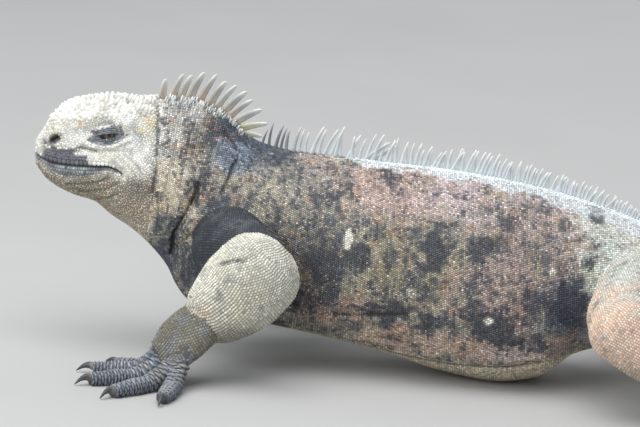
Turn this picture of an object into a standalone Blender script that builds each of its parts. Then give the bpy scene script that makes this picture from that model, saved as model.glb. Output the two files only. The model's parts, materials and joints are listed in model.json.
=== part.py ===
"""A marine iguana that lies on the floor with its head raised, life size, as a still model.

The head points along -X and the tail along +X, the animal's left side faces -Y and +Z is up.
The origin lies on the floor, under the lowest part of the belly. All sizes are in metres.
"""

import math
import random
from typing import NamedTuple

import bmesh
import bpy
import numpy as np
from mathutils import Matrix, Vector
from mathutils.bvhtree import BVHTree

SEED = 11
FLOOR = 0.0
GAP = 0.0003  # left between two nodes that touch
SIDES = {"left": -1.0, "right": 1.0}


class Station(NamedTuple):
    """One cross-section of the body, from its lowest to its top point in the middle plane."""

    name: str
    top: tuple[float, float]  # x and z
    low: tuple[float, float]  # x and z
    half_width: float
    widest: float = 0.46  # share of the height at which the section is widest
    crown: float = 2.0  # power of the upper half: 2 is an ellipse, more is squarer
    keel: float = 2.2  # power of the lower half
    side: float = 0.0  # how far the middle lies towards +Y


STATIONS = (
    Station("snout", (-0.3345, 0.1385), (-0.3335, 0.1330), 0.0040, 0.50),
    Station("lip_front", (-0.3335, 0.1450), (-0.3325, 0.1270), 0.0088, 0.48),
    Station("snout_round", (-0.3300, 0.1515), (-0.3285, 0.1215), 0.0140, 0.45),
    Station("snout_face", (-0.3265, 0.1580), (-0.3240, 0.1165), 0.0176, 0.43),
    Station("nostril", (-0.3200, 0.1662), (-0.3170, 0.1120), 0.0203, 0.42),
    Station("snout_back", (-0.3140, 0.1728), (-0.3090, 0.1085), 0.0222, 0.42),
    Station("brow_front", (-0.3050, 0.1768), (-0.3020, 0.1062), 0.0243, 0.42, 2.2),
    Station("chin_end", (-0.2930, 0.1792), (-0.2890, 0.1035), 0.0270, 0.40, 2.3),
    Station("eye", (-0.2808, 0.1810), (-0.2755, 0.0945), 0.0298, 0.38, 2.4),
    Station("jaw", (-0.2627, 0.1808), (-0.2616, 0.0868), 0.0335, 0.40, 2.3),
    Station("nape", (-0.2478, 0.1828), (-0.2493, 0.0776), 0.0330, 0.42, 2.0),
    Station("neck_1", (-0.2319, 0.1835), (-0.2398, 0.0688), 0.0325, 0.44, 1.9),
    Station("neck_2", (-0.2158, 0.1812), (-0.2318, 0.0592), 0.0332, 0.45, 1.9),
    Station("neck_3", (-0.1999, 0.1740), (-0.2250, 0.0472), 0.0368, 0.46, 1.9),
    Station("neck_4", (-0.1867, 0.1634), (-0.2139, 0.0357), 0.0415, 0.47, 1.9),
    Station("shoulder", (-0.1723, 0.1558), (-0.1931, 0.0290), 0.0475, 0.48, 1.9),
    Station("chest", (-0.1518, 0.1520), (-0.1627, 0.0262), 0.0540, 0.47, 1.9, 2.3),
    Station("ribs", (-0.1156, 0.1510), (-0.1152, 0.0205), 0.0605, 0.45, 1.9, 2.4),
    Station("waist", (-0.0794, 0.1500), (-0.0713, 0.0130), 0.0655, 0.43, 1.9, 2.3),
    Station("belly", (-0.0432, 0.1490), (-0.0307, 0.0030), 0.0690, 0.41, 1.9, 2.15),
    Station("sag", (-0.0068, 0.1462), (0.0072, -0.0018), 0.0695, 0.40, 1.9, 2.1),
    Station("flank", (0.0298, 0.1415), (0.0400, 0.0040), 0.0655, 0.42, 1.9, 2.15),
    Station("groin", (0.0555, 0.1365), (0.0660, 0.0240), 0.0575, 0.45, 1.9, 2.2),
    Station("pelvis", (0.0814, 0.1300), (0.0920, 0.0310), 0.0485, 0.48, 1.9),
    Station("vent", (0.1085, 0.1215), (0.1200, 0.0300), 0.0402, 0.50, 1.9),
    Station("tail_root", (0.1500, 0.1085), (0.1580, 0.0235), 0.0320, 0.48, 1.8),
    Station("tail_drop", (0.2000, 0.0905), (0.2050, 0.0110), 0.0265, 0.46, 1.8),
    Station("tail_down", (0.2500, 0.0735), (0.2500, 0.0012), 0.0220, 0.44, 1.8),
    Station("tail_laid", (0.3000, 0.0600), (0.3000, -0.0012), 0.0185, 0.42, 1.8),
    Station("tail_quarter", (0.3700, 0.0490), (0.3700, -0.0012), 0.0150, 0.42, 1.8, 2.2, 0.007),
    Station("tail_half", (0.4500, 0.0415), (0.4500, -0.0012), 0.0122, 0.42, 1.8, 2.2, 0.019),
    Station("tail_bend", (0.5400, 0.0335), (0.5400, -0.0011), 0.0096, 0.43, 1.8, 2.2, 0.022),
    Station("tail_slim", (0.6300, 0.0260), (0.6300, -0.0010), 0.0073, 0.44, 1.8, 2.2, 0.007),
    Station("tail_thin", (0.7100, 0.0180), (0.7100, -0.0008), 0.0051, 0.45, 1.8, 2.2, -0.021),
    Station("tail_end", (0.7650, 0.0100), (0.7650, -0.0006), 0.0033, 0.46, 1.8, 2.2, -0.044),
    Station("tail_tip", (0.7950, 0.0042), (0.7950, -0.0004), 0.0018, 0.48, 2.0, 2.0, -0.058),
)

# The line between the lips, seen from the side, and how it fades into the cheek.
MOUTH_LINE = (
    (-0.3350, 0.1362),
    (-0.3300, 0.1345),
    (-0.3240, 0.1328),
    (-0.3158, 0.1316),
    (-0.3060, 0.1318),
    (-0.2957, 0.1327),
    (-0.2800, 0.1345),
    (-0.2740, 0.1333),
    (-0.2696, 0.1312),
    (-0.2480, 0.1250),
)
MOUTH_CORNER_X = -0.2696


class Feature(NamedTuple):
    """A swelling or, with a negative height, a groove along a line on both sides of the body."""

    name: str
    line: tuple[tuple[float, float], ...]  # x and z
    reach: float
    height: float


FEATURES = (
    Feature(
        "brow",
        ((-0.2985, 0.1660), (-0.2900, 0.1690), (-0.2790, 0.1700), (-0.2680, 0.1665)),
        0.0048,
        0.0026,
    ),
    Feature("eye_hollow", ((-0.2900, 0.1560), (-0.2730, 0.1575)), 0.0075, -0.0022),
    Feature("nostril_mound", ((-0.3205, 0.1485), (-0.3175, 0.1490)), 0.0055, 0.0018),
    Feature("mouth", MOUTH_LINE[:-1], 0.0016, -0.0014),
    Feature("upper_lip", tuple((x, z + 0.0042) for x, z in MOUTH_LINE[1:-2]), 0.0030, 0.0012),
    Feature("lower_lip", tuple((x, z - 0.0046) for x, z in MOUTH_LINE[1:-3]), 0.0028, 0.0010),
    Feature("jaw_muscle", ((-0.2660, 0.1200), (-0.2600, 0.1280)), 0.0130, 0.0034),
    Feature("ear", ((-0.2565, 0.1490), (-0.2565, 0.1540)), 0.0042, -0.0016),
    Feature(
        "nape_fold",
        ((-0.2476, 0.1805), (-0.2457, 0.1585), (-0.2452, 0.1363), (-0.2460, 0.1100)),
        0.0030,
        -0.0024,
    ),
    Feature(
        "throat_fold",
        ((-0.2163, 0.1366), (-0.2150, 0.1212), (-0.2209, 0.1059), (-0.2290, 0.0904), (-0.2300, 0.0720)),
        0.0042,
        -0.0050,
    ),
    Feature("throat_pouch", ((-0.2260, 0.1300), (-0.2300, 0.1080), (-0.2380, 0.0900)), 0.0090, 0.0026),
    Feature("neck_fold", ((-0.1887, 0.1516), (-0.1931, 0.1357), (-0.1978, 0.1227)), 0.0036, -0.0030),
    Feature(
        "arm_fold",
        ((-0.2270, 0.0800), (-0.2093, 0.1003), (-0.1894, 0.1124), (-0.1798, 0.1096), (-0.1640, 0.1000)),
        0.0042,
        -0.0040,
    ),
    Feature("shoulder_mass", ((-0.1700, 0.1260), (-0.1500, 0.1180)), 0.0180, 0.0030),
    Feature("flank_fold", ((-0.1070, 0.0473), (-0.0640, 0.0511)), 0.0040, -0.0016),
    Feature("hip_mass", ((0.0950, 0.1000), (0.1200, 0.0900)), 0.0200, 0.0030),
)

# Where the nodes of the body part, as stations, and how long a face is along each.
HEAD_STEP = 0.0040
BODY_NODES = (
    ("neck", "nape", "neck_4", 0.0056),
    ("torso", "neck_4", "vent", 0.0122),
    ("tail_1", "vent", "tail_down", 0.0110),
    ("tail_2", "tail_down", "tail_half", 0.0150),
    ("tail_3", "tail_half", "tail_slim", 0.0180),
    ("tail_4", "tail_slim", "tail_tip", 0.0170),
)
NODE_SIDES = {"neck": 34, "torso": 32, "tail_1": 20, "tail_2": 16, "tail_3": 12, "tail_4": 10}

HEAD_ROWS = 20  # faces from under the chin to the crown
MOUTH_ROW = 8

EYE_CENTRE = (-0.2815, 0.1563)  # x and z
EYE_RADIUS = 0.0086
EYE_DEPTH = 0.0066  # of the eye's centre under the side of the head
LID_THICKNESS = 0.0013
SLIT_LENGTH = 0.0154
SLIT_HEIGHT = 0.0062
SLIT_TILT = math.radians(4)

NOSTRIL_CENTRE = (-0.3203, 0.1482)
NOSTRIL_SIZE = (0.0030, 0.0026)
NOSTRIL_DEPTH = 0.0036


class Limb(NamedTuple):
    """The joints of one leg of the left side, each as x, y and z, with the shape of its three parts."""

    upper: tuple[tuple[float, ...], ...]  # x, y, z, half height and half thickness along the part
    lower: tuple[tuple[float, ...], ...]
    wrist: tuple[float, float, float]
    palm: tuple[float, float, float]
    palm_half_width: float
    roll: float  # how far the outer side of the palm hangs lower, in degrees
    digits: tuple[tuple[float, float, float, float], ...]  # angle, length, root offset, half width
    claw_length: float


# Angles are in degrees from straight ahead, and grow outwards.
ARM_LEFT = Limb(
    upper=(
        (-0.1930, -0.0180, 0.0860, 0.0300, 0.0260),
        (-0.1860, -0.0480, 0.0860, 0.0300, 0.0260),
        (-0.1680, -0.0860, 0.0830, 0.0250, 0.0240),
    ),
    lower=(
        (-0.1650, -0.0920, 0.0815, 0.0312, 0.0255),
        (-0.1757, -0.0950, 0.0695, 0.0318, 0.0245),
        (-0.1890, -0.0985, 0.0560, 0.0276, 0.0205),
        (-0.2040, -0.1020, 0.0430, 0.0196, 0.0140),
    ),
    wrist=(-0.2000, -0.1010, 0.0460),
    palm=(-0.2255, -0.1100, 0.0225),
    palm_half_width=0.0245,
    roll=24.0,
    digits=(
        (-27.0, 0.0340, -0.0172, 0.0052),
        (1.0, 0.0490, -0.0110, 0.0056),
        (27.0, 0.0600, 0.0000, 0.0059),
        (50.0, 0.0640, 0.0108, 0.0059),
        (80.0, 0.0500, 0.0178, 0.0057),
    ),
    claw_length=0.0125,
)

LEG_LEFT = Limb(
    upper=(
        (0.1160, -0.0120, 0.0780, 0.0330, 0.0300),
        (0.1050, -0.0500, 0.0760, 0.0330, 0.0290),
        (0.0945, -0.0860, 0.0705, 0.0295, 0.0270),
    ),
    lower=(
        (0.0945, -0.1010, 0.0665, 0.0272, 0.0254),
        (0.1125, -0.1060, 0.0540, 0.0238, 0.0218),
        (0.1410, -0.1150, 0.0365, 0.0168, 0.0162),
        (0.1640, -0.1210, 0.0230, 0.0125, 0.0125),
    ),
    wrist=(0.1615, -0.1200, 0.0240),
    palm=(0.1520, -0.1490, 0.0110),
    palm_half_width=0.0180,
    roll=6.0,
    digits=(
        (30.0, 0.0300, -0.0130, 0.0042),
        (44.0, 0.0440, -0.0080, 0.0046),
        (58.0, 0.0600, 0.0000, 0.0048),
        (72.0, 0.0760, 0.0080, 0.0048),
        (102.0, 0.0500, 0.0140, 0.0045),
    ),
    claw_length=0.0110,
)

# The right arm is drawn further back than the left one, and the right leg a little.
RIGHT_ARM_SHIFT = 0.0570
RIGHT_ARM_TURN = 34.0  # degrees that the hand is turned outwards
RIGHT_LEG_SHIFT = 0.0120
RIGHT_LEG_TURN = -8.0
ROOT_SHIFT_SHARE = 0.3  # of a limb's shift, that its root in the body takes part in

LIMB_SIDES = 14
LIMB_STEP = 0.0115
LIMB_END_TURNS = (math.radians(22), math.radians(48), math.radians(70))  # of the rings of a rounded end
SIDEWAYS_LIMIT = 0.75  # how far along Y a limb may run before its section is set square to X instead

# Rings of the palm as the share of the way from the wrist, the half height and the share of the half width.
PALM_RINGS = ((0.0, 0.0135, 0.80), (0.45, 0.0130, 0.90), (0.80, 0.0115, 0.90))
PALM_END = (0.0060, 0.0060, 0.66)  # how far ahead of the palm, its half height and share of the half width
PALM_CLEAR = 0.0008  # between the palm and the floor
KNUCKLE_BACK = 0.0040  # how far inside the palm a digit starts

# Rings of a digit as the share of its length and of its half width.
DIGIT_RINGS = ((0.0, 1.0), (0.22, 1.0), (0.45, 0.97), (0.70, 0.90), (1.0, 0.66))
DIGIT_SIDES = 6
DIGIT_DROP = 0.55  # share of its length after which a digit lies flat
DIGIT_LIE = 0.80  # height of its centre line there, as a share of its half width
DIGIT_FLAT = 0.92  # its height as a share of its width

# Rings of a claw as the share of its length, its rise as a share of the length, and its scale.
CLAW_RINGS = ((0.0, 0.0, 1.0), (0.35, 0.10, 0.86), (0.72, 0.02, 0.50))
CLAW_SIDES = 5
CLAW_WIDTH = 0.52  # of its digit's half width
CLAW_NARROW = 0.8
CLAW_DIP = 0.75  # how far the tip comes down, as a share of the root's height

# How far inside the ends of the lengths that carry them the first and the last spine stand.
NAPE_SPINE_ENDS = (0.0040, 0.0060)
BACK_SPINE_ENDS = (0.0020, 0.0040)
TAIL_SPINE_ENDS = (0.0040, 0.0050)
NAPE_SPINES = 12
NAPE_SPINE_HEIGHTS = (0.0120, 0.0180, 0.0225, 0.0225, 0.0215, 0.0145)  # from the first spine to the last
BACK_SPINE_STEP = 0.0083
BACK_SPINE_HEIGHTS = (0.0180, 0.0220, 0.0210, 0.0165, 0.0170, 0.0150, 0.0120, 0.0080)
TAIL_SPINE_STEP = 0.0128
TAIL_SPINE_HEIGHTS = (0.008, 0.0095, 0.009, 0.0075, 0.006, 0.004, 0.0025)
SPINE_SUNK = 0.0030
SPINE_STRAY = 0.0004  # to either side of the middle line
SPINE_LENGTH_SHARE = 0.12  # of the height, added to the base length of a spine's foot
SPINE_LENGTH_BASE = 0.0018
SPINE_THICKNESS = 0.0024
SPINE_TURN_STRAY = 5.0  # degrees
SPINE_CURL = 1.2  # how much further the tip leans than the foot
SPINE_WAIST = (0.55, 0.62)  # where between foot and tip a spine has a middle ring, and how wide
SPINE_NARROW = 0.8  # of the front of a spine's foot
HEIGHT_STRAY = (0.90, 1.10)
NAPE_SPINE_LEANS = (4.0, 30.0, 22.0, 14.0, 8.0, 14.0, 52.0)  # degrees back from square to the crest
BACK_SPINE_LEANS = (6.0, 12.0, 14.0, 16.0)
TAIL_SPINE_LEANS = (30.0, 36.0)

CROWN_RINGS = 8
CROWN_ROWS = 3  # of tubercles on each side of the middle one
CROWN_ROW_TURN = 19.0  # degrees
CROWN_STRAY = 0.05  # radians
CROWN_LEAN = 42.0  # degrees ahead, over the snout
CROWN_MIDDLE = 0.65  # share of the head's height from which the tubercles fan out
TUBERCLE_FRONT = 0.0064  # across its foot, over the snout
TUBERCLE_BACK = 0.0046
TUBERCLE_HEIGHT = (0.48, 0.62)  # of its foot
TUBERCLE_TOP = 0.42  # of its foot
TUBERCLE_SIDES = 5
TUBERCLE_SUNK = 0.0016
RAY_START = 0.1
LID_REACH = 0.0125  # no tubercle grows nearer to the middle of an eye

COLOURS = {
    "skin_head": (0.62, 0.57, 0.46),
    "skin_neck": (0.30, 0.27, 0.22),
    "skin_trunk": (0.23, 0.17, 0.14),
    "skin_tail": (0.20, 0.18, 0.14),
    "skin_arm": (0.45, 0.44, 0.33),
    "skin_hand": (0.20, 0.20, 0.18),
    "skin_leg": (0.50, 0.36, 0.22),
    "eye": (0.05, 0.04, 0.035),
    "claw": (0.07, 0.065, 0.06),
}
ROUGHNESS = {"eye": 0.15, "claw": 0.40}
SKIN_ROUGHNESS = 0.62

rng = random.Random(SEED)


def monotone_curve(knots, values):
    """A smooth function through the values that never overshoots them."""
    spans = np.diff(knots)
    slopes = np.diff(values) / spans
    tangents = np.zeros(len(knots))
    same_way = slopes[:-1] * slopes[1:] > 0
    before = 2 * spans[1:] + spans[:-1]
    after = spans[1:] + 2 * spans[:-1]
    safe = np.where(same_way, slopes[:-1], 1.0), np.where(same_way, slopes[1:], 1.0)
    middle = (before + after) / (before / safe[0] + after / safe[1])
    tangents[1:-1] = np.where(same_way, middle, 0.0)
    tangents[0] = slopes[0]
    tangents[-1] = slopes[-1]

    def value_at(place):
        place = np.asarray(place, float)
        i = np.clip(np.searchsorted(knots, place) - 1, 0, len(spans) - 1)
        t = (place - knots[i]) / spans[i]
        return (
            (2 * t**3 - 3 * t**2 + 1) * values[i]
            + (t**3 - 2 * t**2 + t) * spans[i] * tangents[i]
            + (3 * t**2 - 2 * t**3) * values[i + 1]
            + (t**3 - t**2) * spans[i] * tangents[i + 1]
        )

    return value_at


class BodyForm:
    """The body as one smooth surface: a place along it and an angle round it give a point."""

    def __init__(self, stations):
        top = np.array([station.top for station in stations])
        low = np.array([station.low for station in stations])
        side = np.array([station.side for station in stations])
        middle = np.column_stack([(top + low) / 2, side])
        steps = np.linalg.norm(np.diff(middle, axis=0), axis=1)
        self.knots = np.concatenate([[0.0], np.cumsum(steps)])
        self.names = [station.name for station in stations]
        columns = {
            "top_x": top[:, 0],
            "top_z": top[:, 1],
            "low_x": low[:, 0],
            "low_z": low[:, 1],
            "half_width": np.array([station.half_width for station in stations]),
            "widest": np.array([station.widest for station in stations]),
            "crown": np.array([station.crown for station in stations]),
            "keel": np.array([station.keel for station in stations]),
            "side": side,
        }
        self.curves = {name: monotone_curve(self.knots, column) for name, column in columns.items()}

    def place(self, name):
        """The distance along the body of a named station."""
        return self.knots[self.names.index(name)]

    def place_at_x(self, x):
        """The distance along the body where the middle of the section has this x."""
        places = np.linspace(0.0, self.knots[-1], 4000)
        middle_x = (self.curves["top_x"](places) + self.curves["low_x"](places)) / 2
        return float(np.interp(x, middle_x, places))

    def section(self, places):
        """The values of the sections at these places, each as a column."""
        return {name: curve(places)[:, None] for name, curve in self.curves.items()}

    def heading(self, places):
        """The angle at which the body runs, seen from above."""
        step = 1e-4
        before = self.section(np.maximum(places - step, 0.0))
        after = self.section(np.minimum(places + step, self.knots[-1]))
        along = (after["top_x"] + after["low_x"] - before["top_x"] - before["low_x"]) / 2
        return np.arctan2(after["side"] - before["side"], along)

    def rings(self, places, angles):
        """Points round the sections. Angle 0 is under the body, and pi is on top of it."""
        places = np.asarray(places, float)
        section = self.section(places)
        angles = np.broadcast_to(angles, (len(places), np.shape(angles)[-1]))
        sine, rise = np.sin(angles), -np.cos(angles)
        power = 2 / np.where(rise < 0, section["keel"], section["crown"])
        out = -np.sign(sine) * np.abs(sine) ** power * section["half_width"]
        share = np.where(
            rise < 0,
            section["widest"] * (1 - np.abs(rise) ** power),
            section["widest"] + (1 - section["widest"]) * np.abs(rise) ** power,
        )
        heading = self.heading(places)
        x = section["low_x"] + share * (section["top_x"] - section["low_x"]) - out * np.sin(heading)
        y = section["side"] + out * np.cos(heading)
        z = section["low_z"] + share * (section["top_z"] - section["low_z"])
        return np.stack([x, y, np.maximum(z, FLOOR)], axis=-1)

    def angle_of_height(self, places, z):
        """The angle on the left side at which the section has this height."""
        section = {name: column[:, 0] for name, column in self.section(places).items()}
        share = (z - section["low_z"]) / (section["top_z"] - section["low_z"])
        share = np.clip(share, 0.02, 0.98)
        under = share < section["widest"]
        low = np.clip(1 - share / section["widest"], 0, 1) ** (section["keel"] / 2)
        high = np.clip((share - section["widest"]) / (1 - section["widest"]), 0, 1) ** (section["crown"] / 2)
        return np.arccos(np.clip(np.where(under, low, -high), -1, 1))


def distance_to_line(x, z, line):
    """How far the points lie from a line of straight pieces in the side view."""
    nearest = np.full(np.shape(x), np.inf)
    for (x0, z0), (x1, z1) in zip(line[:-1], line[1:]):
        run, climb = x1 - x0, z1 - z0
        t = np.clip(((x - x0) * run + (z - z0) * climb) / (run**2 + climb**2), 0, 1)
        nearest = np.minimum(nearest, np.hypot(x - x0 - t * run, z - z0 - t * climb))
    return nearest


def in_plane_normals(form, places, angles):
    """Outward normals of the body, turned into the plane of their own section."""
    places = np.asarray(places, float)
    step = 1e-4
    limit = form.knots[-1]
    before = form.rings(np.maximum(places - step, 0.0), angles)
    after = form.rings(np.minimum(places + step, limit), angles)
    around = form.rings(places, np.asarray(angles) + 0.01) - form.rings(places, np.asarray(angles) - 0.01)
    normals = np.cross(after - before, around)
    section = form.section(places)
    heading = form.heading(places)
    across = np.stack([-np.sin(heading), np.cos(heading), np.zeros_like(heading)], axis=-1)
    rise = [section["top_x"] - section["low_x"], np.zeros_like(heading), section["top_z"] - section["low_z"]]
    ahead = np.cross(across, np.stack(rise, axis=-1))
    for vectors in (normals, ahead):
        vectors /= np.maximum(np.linalg.norm(vectors, axis=-1, keepdims=True), 1e-12)
    return normals - ahead * (normals * ahead).sum(axis=-1, keepdims=True)


def skin_rings(form, places, angles, grow=0.0):
    """Rings of the body's skin, with the swellings and grooves of the animal's sides."""
    rings = form.rings(places, angles)
    normals = in_plane_normals(form, places, angles)
    sideways = np.clip(np.abs(normals[..., 1]) * 1.8, 0, 1)
    lift = np.zeros(rings.shape[:2])
    for feature in FEATURES:
        distance = distance_to_line(rings[..., 0], rings[..., 2], feature.line)
        lift += feature.height * np.exp(-((distance / feature.reach) ** 2))
    moved = rings + normals * (lift * sideways + grow)[..., None]
    moved[..., 2] = np.maximum(moved[..., 2], FLOOR)
    return moved


def close_with_fan(bm, ring):
    """Closes a ring of vertices with triangles to its middle."""
    middle = sum((vert.co for vert in ring), Vector()) / len(ring)
    hub = bm.verts.new(middle)
    for first, second in zip(ring, ring[1:] + ring[:1]):
        bm.faces.new((first, second, hub))


def lofted(rings, tip=None):
    """A closed mesh through rings of points, ended by fans, or by a point."""
    bm = bmesh.new()
    loops = [[bm.verts.new(point) for point in ring] for ring in rings]
    for near, far in zip(loops[:-1], loops[1:]):
        for i in range(len(near)):
            j = (i + 1) % len(near)
            bm.faces.new((near[i], near[j], far[j]))
            bm.faces.new((near[i], far[j], far[i]))
    close_with_fan(bm, loops[0])
    if tip is None:
        close_with_fan(bm, loops[-1])
    else:
        end = bm.verts.new(tip)
        for first, second in zip(loops[-1], loops[-1][1:] + loops[-1][:1]):
            bm.faces.new((first, second, end))
    bmesh.ops.triangulate(bm, faces=bm.faces)
    bmesh.ops.recalc_face_normals(bm, faces=bm.faces)
    return bm


def material(colour_name):
    """The plain material of a kind of surface, made once."""
    found = bpy.data.materials.get(colour_name)
    if found:
        return found
    made = bpy.data.materials.new(colour_name)
    made.use_nodes = True
    shader = made.node_tree.nodes["Principled BSDF"]
    shader.inputs["Base Color"].default_value = (*COLOURS[colour_name], 1.0)
    shader.inputs["Roughness"].default_value = ROUGHNESS.get(colour_name, SKIN_ROUGHNESS)
    made.diffuse_color = (*COLOURS[colour_name], 1.0)
    return made


def add_object(name, bm, collection, colour_name=None):
    """A new object from a bmesh, which is freed."""
    mesh = bpy.data.meshes.new(name)
    bm.to_mesh(mesh)
    bm.free()
    if colour_name:
        mesh.materials.append(material(colour_name))
        mesh.shade_smooth()
    made = bpy.data.objects.new(name, mesh)
    collection.objects.link(made)
    return made


def apply_modifiers(obj):
    """Replaces an object's mesh by the one that its modifiers make."""
    graph = bpy.context.evaluated_depsgraph_get()
    mesh = bpy.data.meshes.new_from_object(obj.evaluated_get(graph))
    old = obj.data
    obj.modifiers.clear()
    obj.data = mesh
    bpy.data.meshes.remove(old)


def keep_largest(obj):
    """Keeps only the closed surface with the largest volume."""
    bm = bmesh.new()
    bm.from_mesh(obj.data)
    bmesh.ops.triangulate(bm, faces=bm.faces)
    unseen = set(bm.faces)
    shells = []
    while unseen:
        start = unseen.pop()
        shell, front = {start}, [start]
        while front:
            for edge in front.pop().edges:
                for face in edge.link_faces:
                    if face in unseen:
                        unseen.discard(face)
                        shell.add(face)
                        front.append(face)
        corners = [[vert.co for vert in face.verts] for face in shell]
        volume = sum(a.dot(b.cross(c)) for a, b, c in corners)
        shells.append((abs(volume), len(shells), shell))
    largest = max(shells)[2]
    bmesh.ops.delete(bm, geom=[face for face in bm.faces if face not in largest], context="FACES")
    bm.to_mesh(obj.data)
    bm.free()


def boolean(obj, operation, cutters, solver="EXACT"):
    """Joins to an object, or cuts from it, all the closed meshes given, which are then removed."""
    group = bpy.data.collections.new("joined_pieces")
    for index, bm in enumerate(cutters):
        add_object(f"piece_{index}", bm, group)
    bpy.context.scene.collection.children.link(group)
    modifier = obj.modifiers.new(operation.title(), "BOOLEAN")
    modifier.operation = operation
    modifier.solver = solver
    modifier.operand_type = "COLLECTION"
    modifier.collection = group
    apply_modifiers(obj)
    for piece in list(group.objects):
        bpy.data.objects.remove(piece)
    bpy.data.collections.remove(group)
    keep_largest(obj)


def surface_tree(obj):
    """A search tree of an object's surface."""
    bm = bmesh.new()
    bm.from_mesh(obj.data)
    tree = BVHTree.FromBMesh(bm)
    bm.free()
    return tree


def even_places(start, end, step):
    """Places from start to end, evenly spaced and about a step apart."""
    return np.linspace(start, end, max(2, round((end - start) / step) + 1))


def tapered_spine(root, along, lean, height):
    """A blunt horny spine: a flat pyramid that curves back, sunk in the skin at its root."""
    across = Vector((-along.y, along.x, 0.0)).normalized()
    up = across.cross(-along).normalized()
    length = SPINE_LENGTH_BASE + SPINE_LENGTH_SHARE * height
    foot = root - SPINE_SUNK * up
    reach = height + SPINE_SUNK
    rings = []
    for share, size in ((0.0, 1.0), SPINE_WAIST):
        centre = foot + (math.cos(lean) * up + math.sin(lean) * along) * reach * share
        fore, half = along * length * 0.5 * size, across * SPINE_THICKNESS * 0.5 * size
        narrow = half * SPINE_NARROW
        rings.append(
            [centre - fore + narrow, centre + fore + half, centre + fore - half, centre - fore - narrow]
        )
    bent = lean * SPINE_CURL
    tip = foot + (math.cos(bent) * up + math.sin(bent) * along) * reach
    return lofted(rings, tip)


def crest_spines(form, start, end, step, heights, leans):
    """Spines in a row along the top of the body, their heights and leans read from a few named ones."""
    places = even_places(start, end, step)
    tops = form.rings(places, np.array([math.pi]))[:, 0]
    runs = np.gradient(tops, axis=0)
    shares = np.linspace(0.0, 1.0, len(places))
    tall = np.interp(shares, np.linspace(0, 1, len(heights)), heights)
    lean = np.interp(shares, np.linspace(0, 1, len(leans)), leans)
    spines = []
    for i in range(len(places)):
        root = Vector(tops[i]) + Vector((0.0, rng.uniform(-SPINE_STRAY, SPINE_STRAY), 0.0))
        height = tall[i] * rng.uniform(*HEIGHT_STRAY)
        turn = math.radians(lean[i] + rng.uniform(-SPINE_TURN_STRAY, SPINE_TURN_STRAY))
        spines.append(tapered_spine(root, Vector(runs[i]).normalized(), turn, height))
    return spines


def tubercle(hit, up, size, height):
    """A blunt cone on the skin, sunk a little in it."""
    cone = bmesh.new()
    depth = height + TUBERCLE_SUNK
    bmesh.ops.create_cone(
        cone,
        cap_ends=True,
        segments=TUBERCLE_SIDES,
        radius1=size / 2,
        radius2=size / 2 * TUBERCLE_TOP,
        depth=depth,
    )
    turned = up.to_track_quat("Z", "Y").to_matrix().to_4x4()
    lift = Matrix.Translation(hit + up * (depth / 2 - TUBERCLE_SUNK))
    bmesh.ops.transform(cone, matrix=lift @ turned, verts=cone.verts)
    return cone


def crown_tubercles(form, tree):
    """Blunt cones on the crown of the head, largest over the snout."""
    places = np.linspace(form.place("snout_face"), form.place("nape") - 0.004, CROWN_RINGS)
    cones = []
    for ring, place in enumerate(places):
        section = {name: float(column[0, 0]) for name, column in form.section(np.array([place])).items()}
        middle_x = (section["top_x"] + section["low_x"]) / 2
        middle_z = CROWN_MIDDLE * section["top_z"] + (1 - CROWN_MIDDLE) * section["low_z"]
        middle = Vector((middle_x, 0.0, middle_z))
        back = ring / (CROWN_RINGS - 1)
        lean = math.radians(CROWN_LEAN) * (1 - back) ** 2
        for row in range(-CROWN_ROWS, CROWN_ROWS + 1):
            turn = math.radians(CROWN_ROW_TURN) * (row + 0.5 * (ring % 2))
            turn += rng.uniform(-CROWN_STRAY, CROWN_STRAY)
            ahead = -math.sin(lean)
            direction = Vector((ahead, math.sin(turn) * math.cos(lean), math.cos(turn) * math.cos(lean)))
            hit, normal, _, _ = tree.ray_cast(middle + direction * RAY_START, -direction)
            if hit is None or math.dist((hit.x, hit.z), EYE_CENTRE) < LID_REACH and abs(hit.y) > LID_REACH:
                continue
            size = TUBERCLE_FRONT + (TUBERCLE_BACK - TUBERCLE_FRONT) * back
            size *= rng.uniform(*HEIGHT_STRAY)
            height = size * rng.uniform(*TUBERCLE_HEIGHT)
            cones.append(tubercle(hit, (normal + direction).normalized(), size, height))
    return cones


def head_angles(form, places, drop):
    """Angles of the rows round each ring of the head, with one row on the line of the mouth."""
    section = form.section(places)
    line = np.array(MOUTH_LINE)
    middle_x = (section["low_x"] + section["top_x"])[:, 0] / 2
    mouth_z = np.interp(middle_x, line[:, 0], line[:, 1]) - drop
    mouth = form.angle_of_height(places, mouth_z)
    mouth = mouth[:, None]
    under = np.linspace(0, 1, MOUTH_ROW + 1)[None] * mouth
    over = np.linspace(0, 1, HEAD_ROWS - MOUTH_ROW + 1)[None, 1:] * (math.pi - mouth) + mouth
    left = np.concatenate([under, over], axis=1)
    right = 2 * math.pi - left[:, -2:0:-1]
    return np.concatenate([left, right], axis=1)


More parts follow.
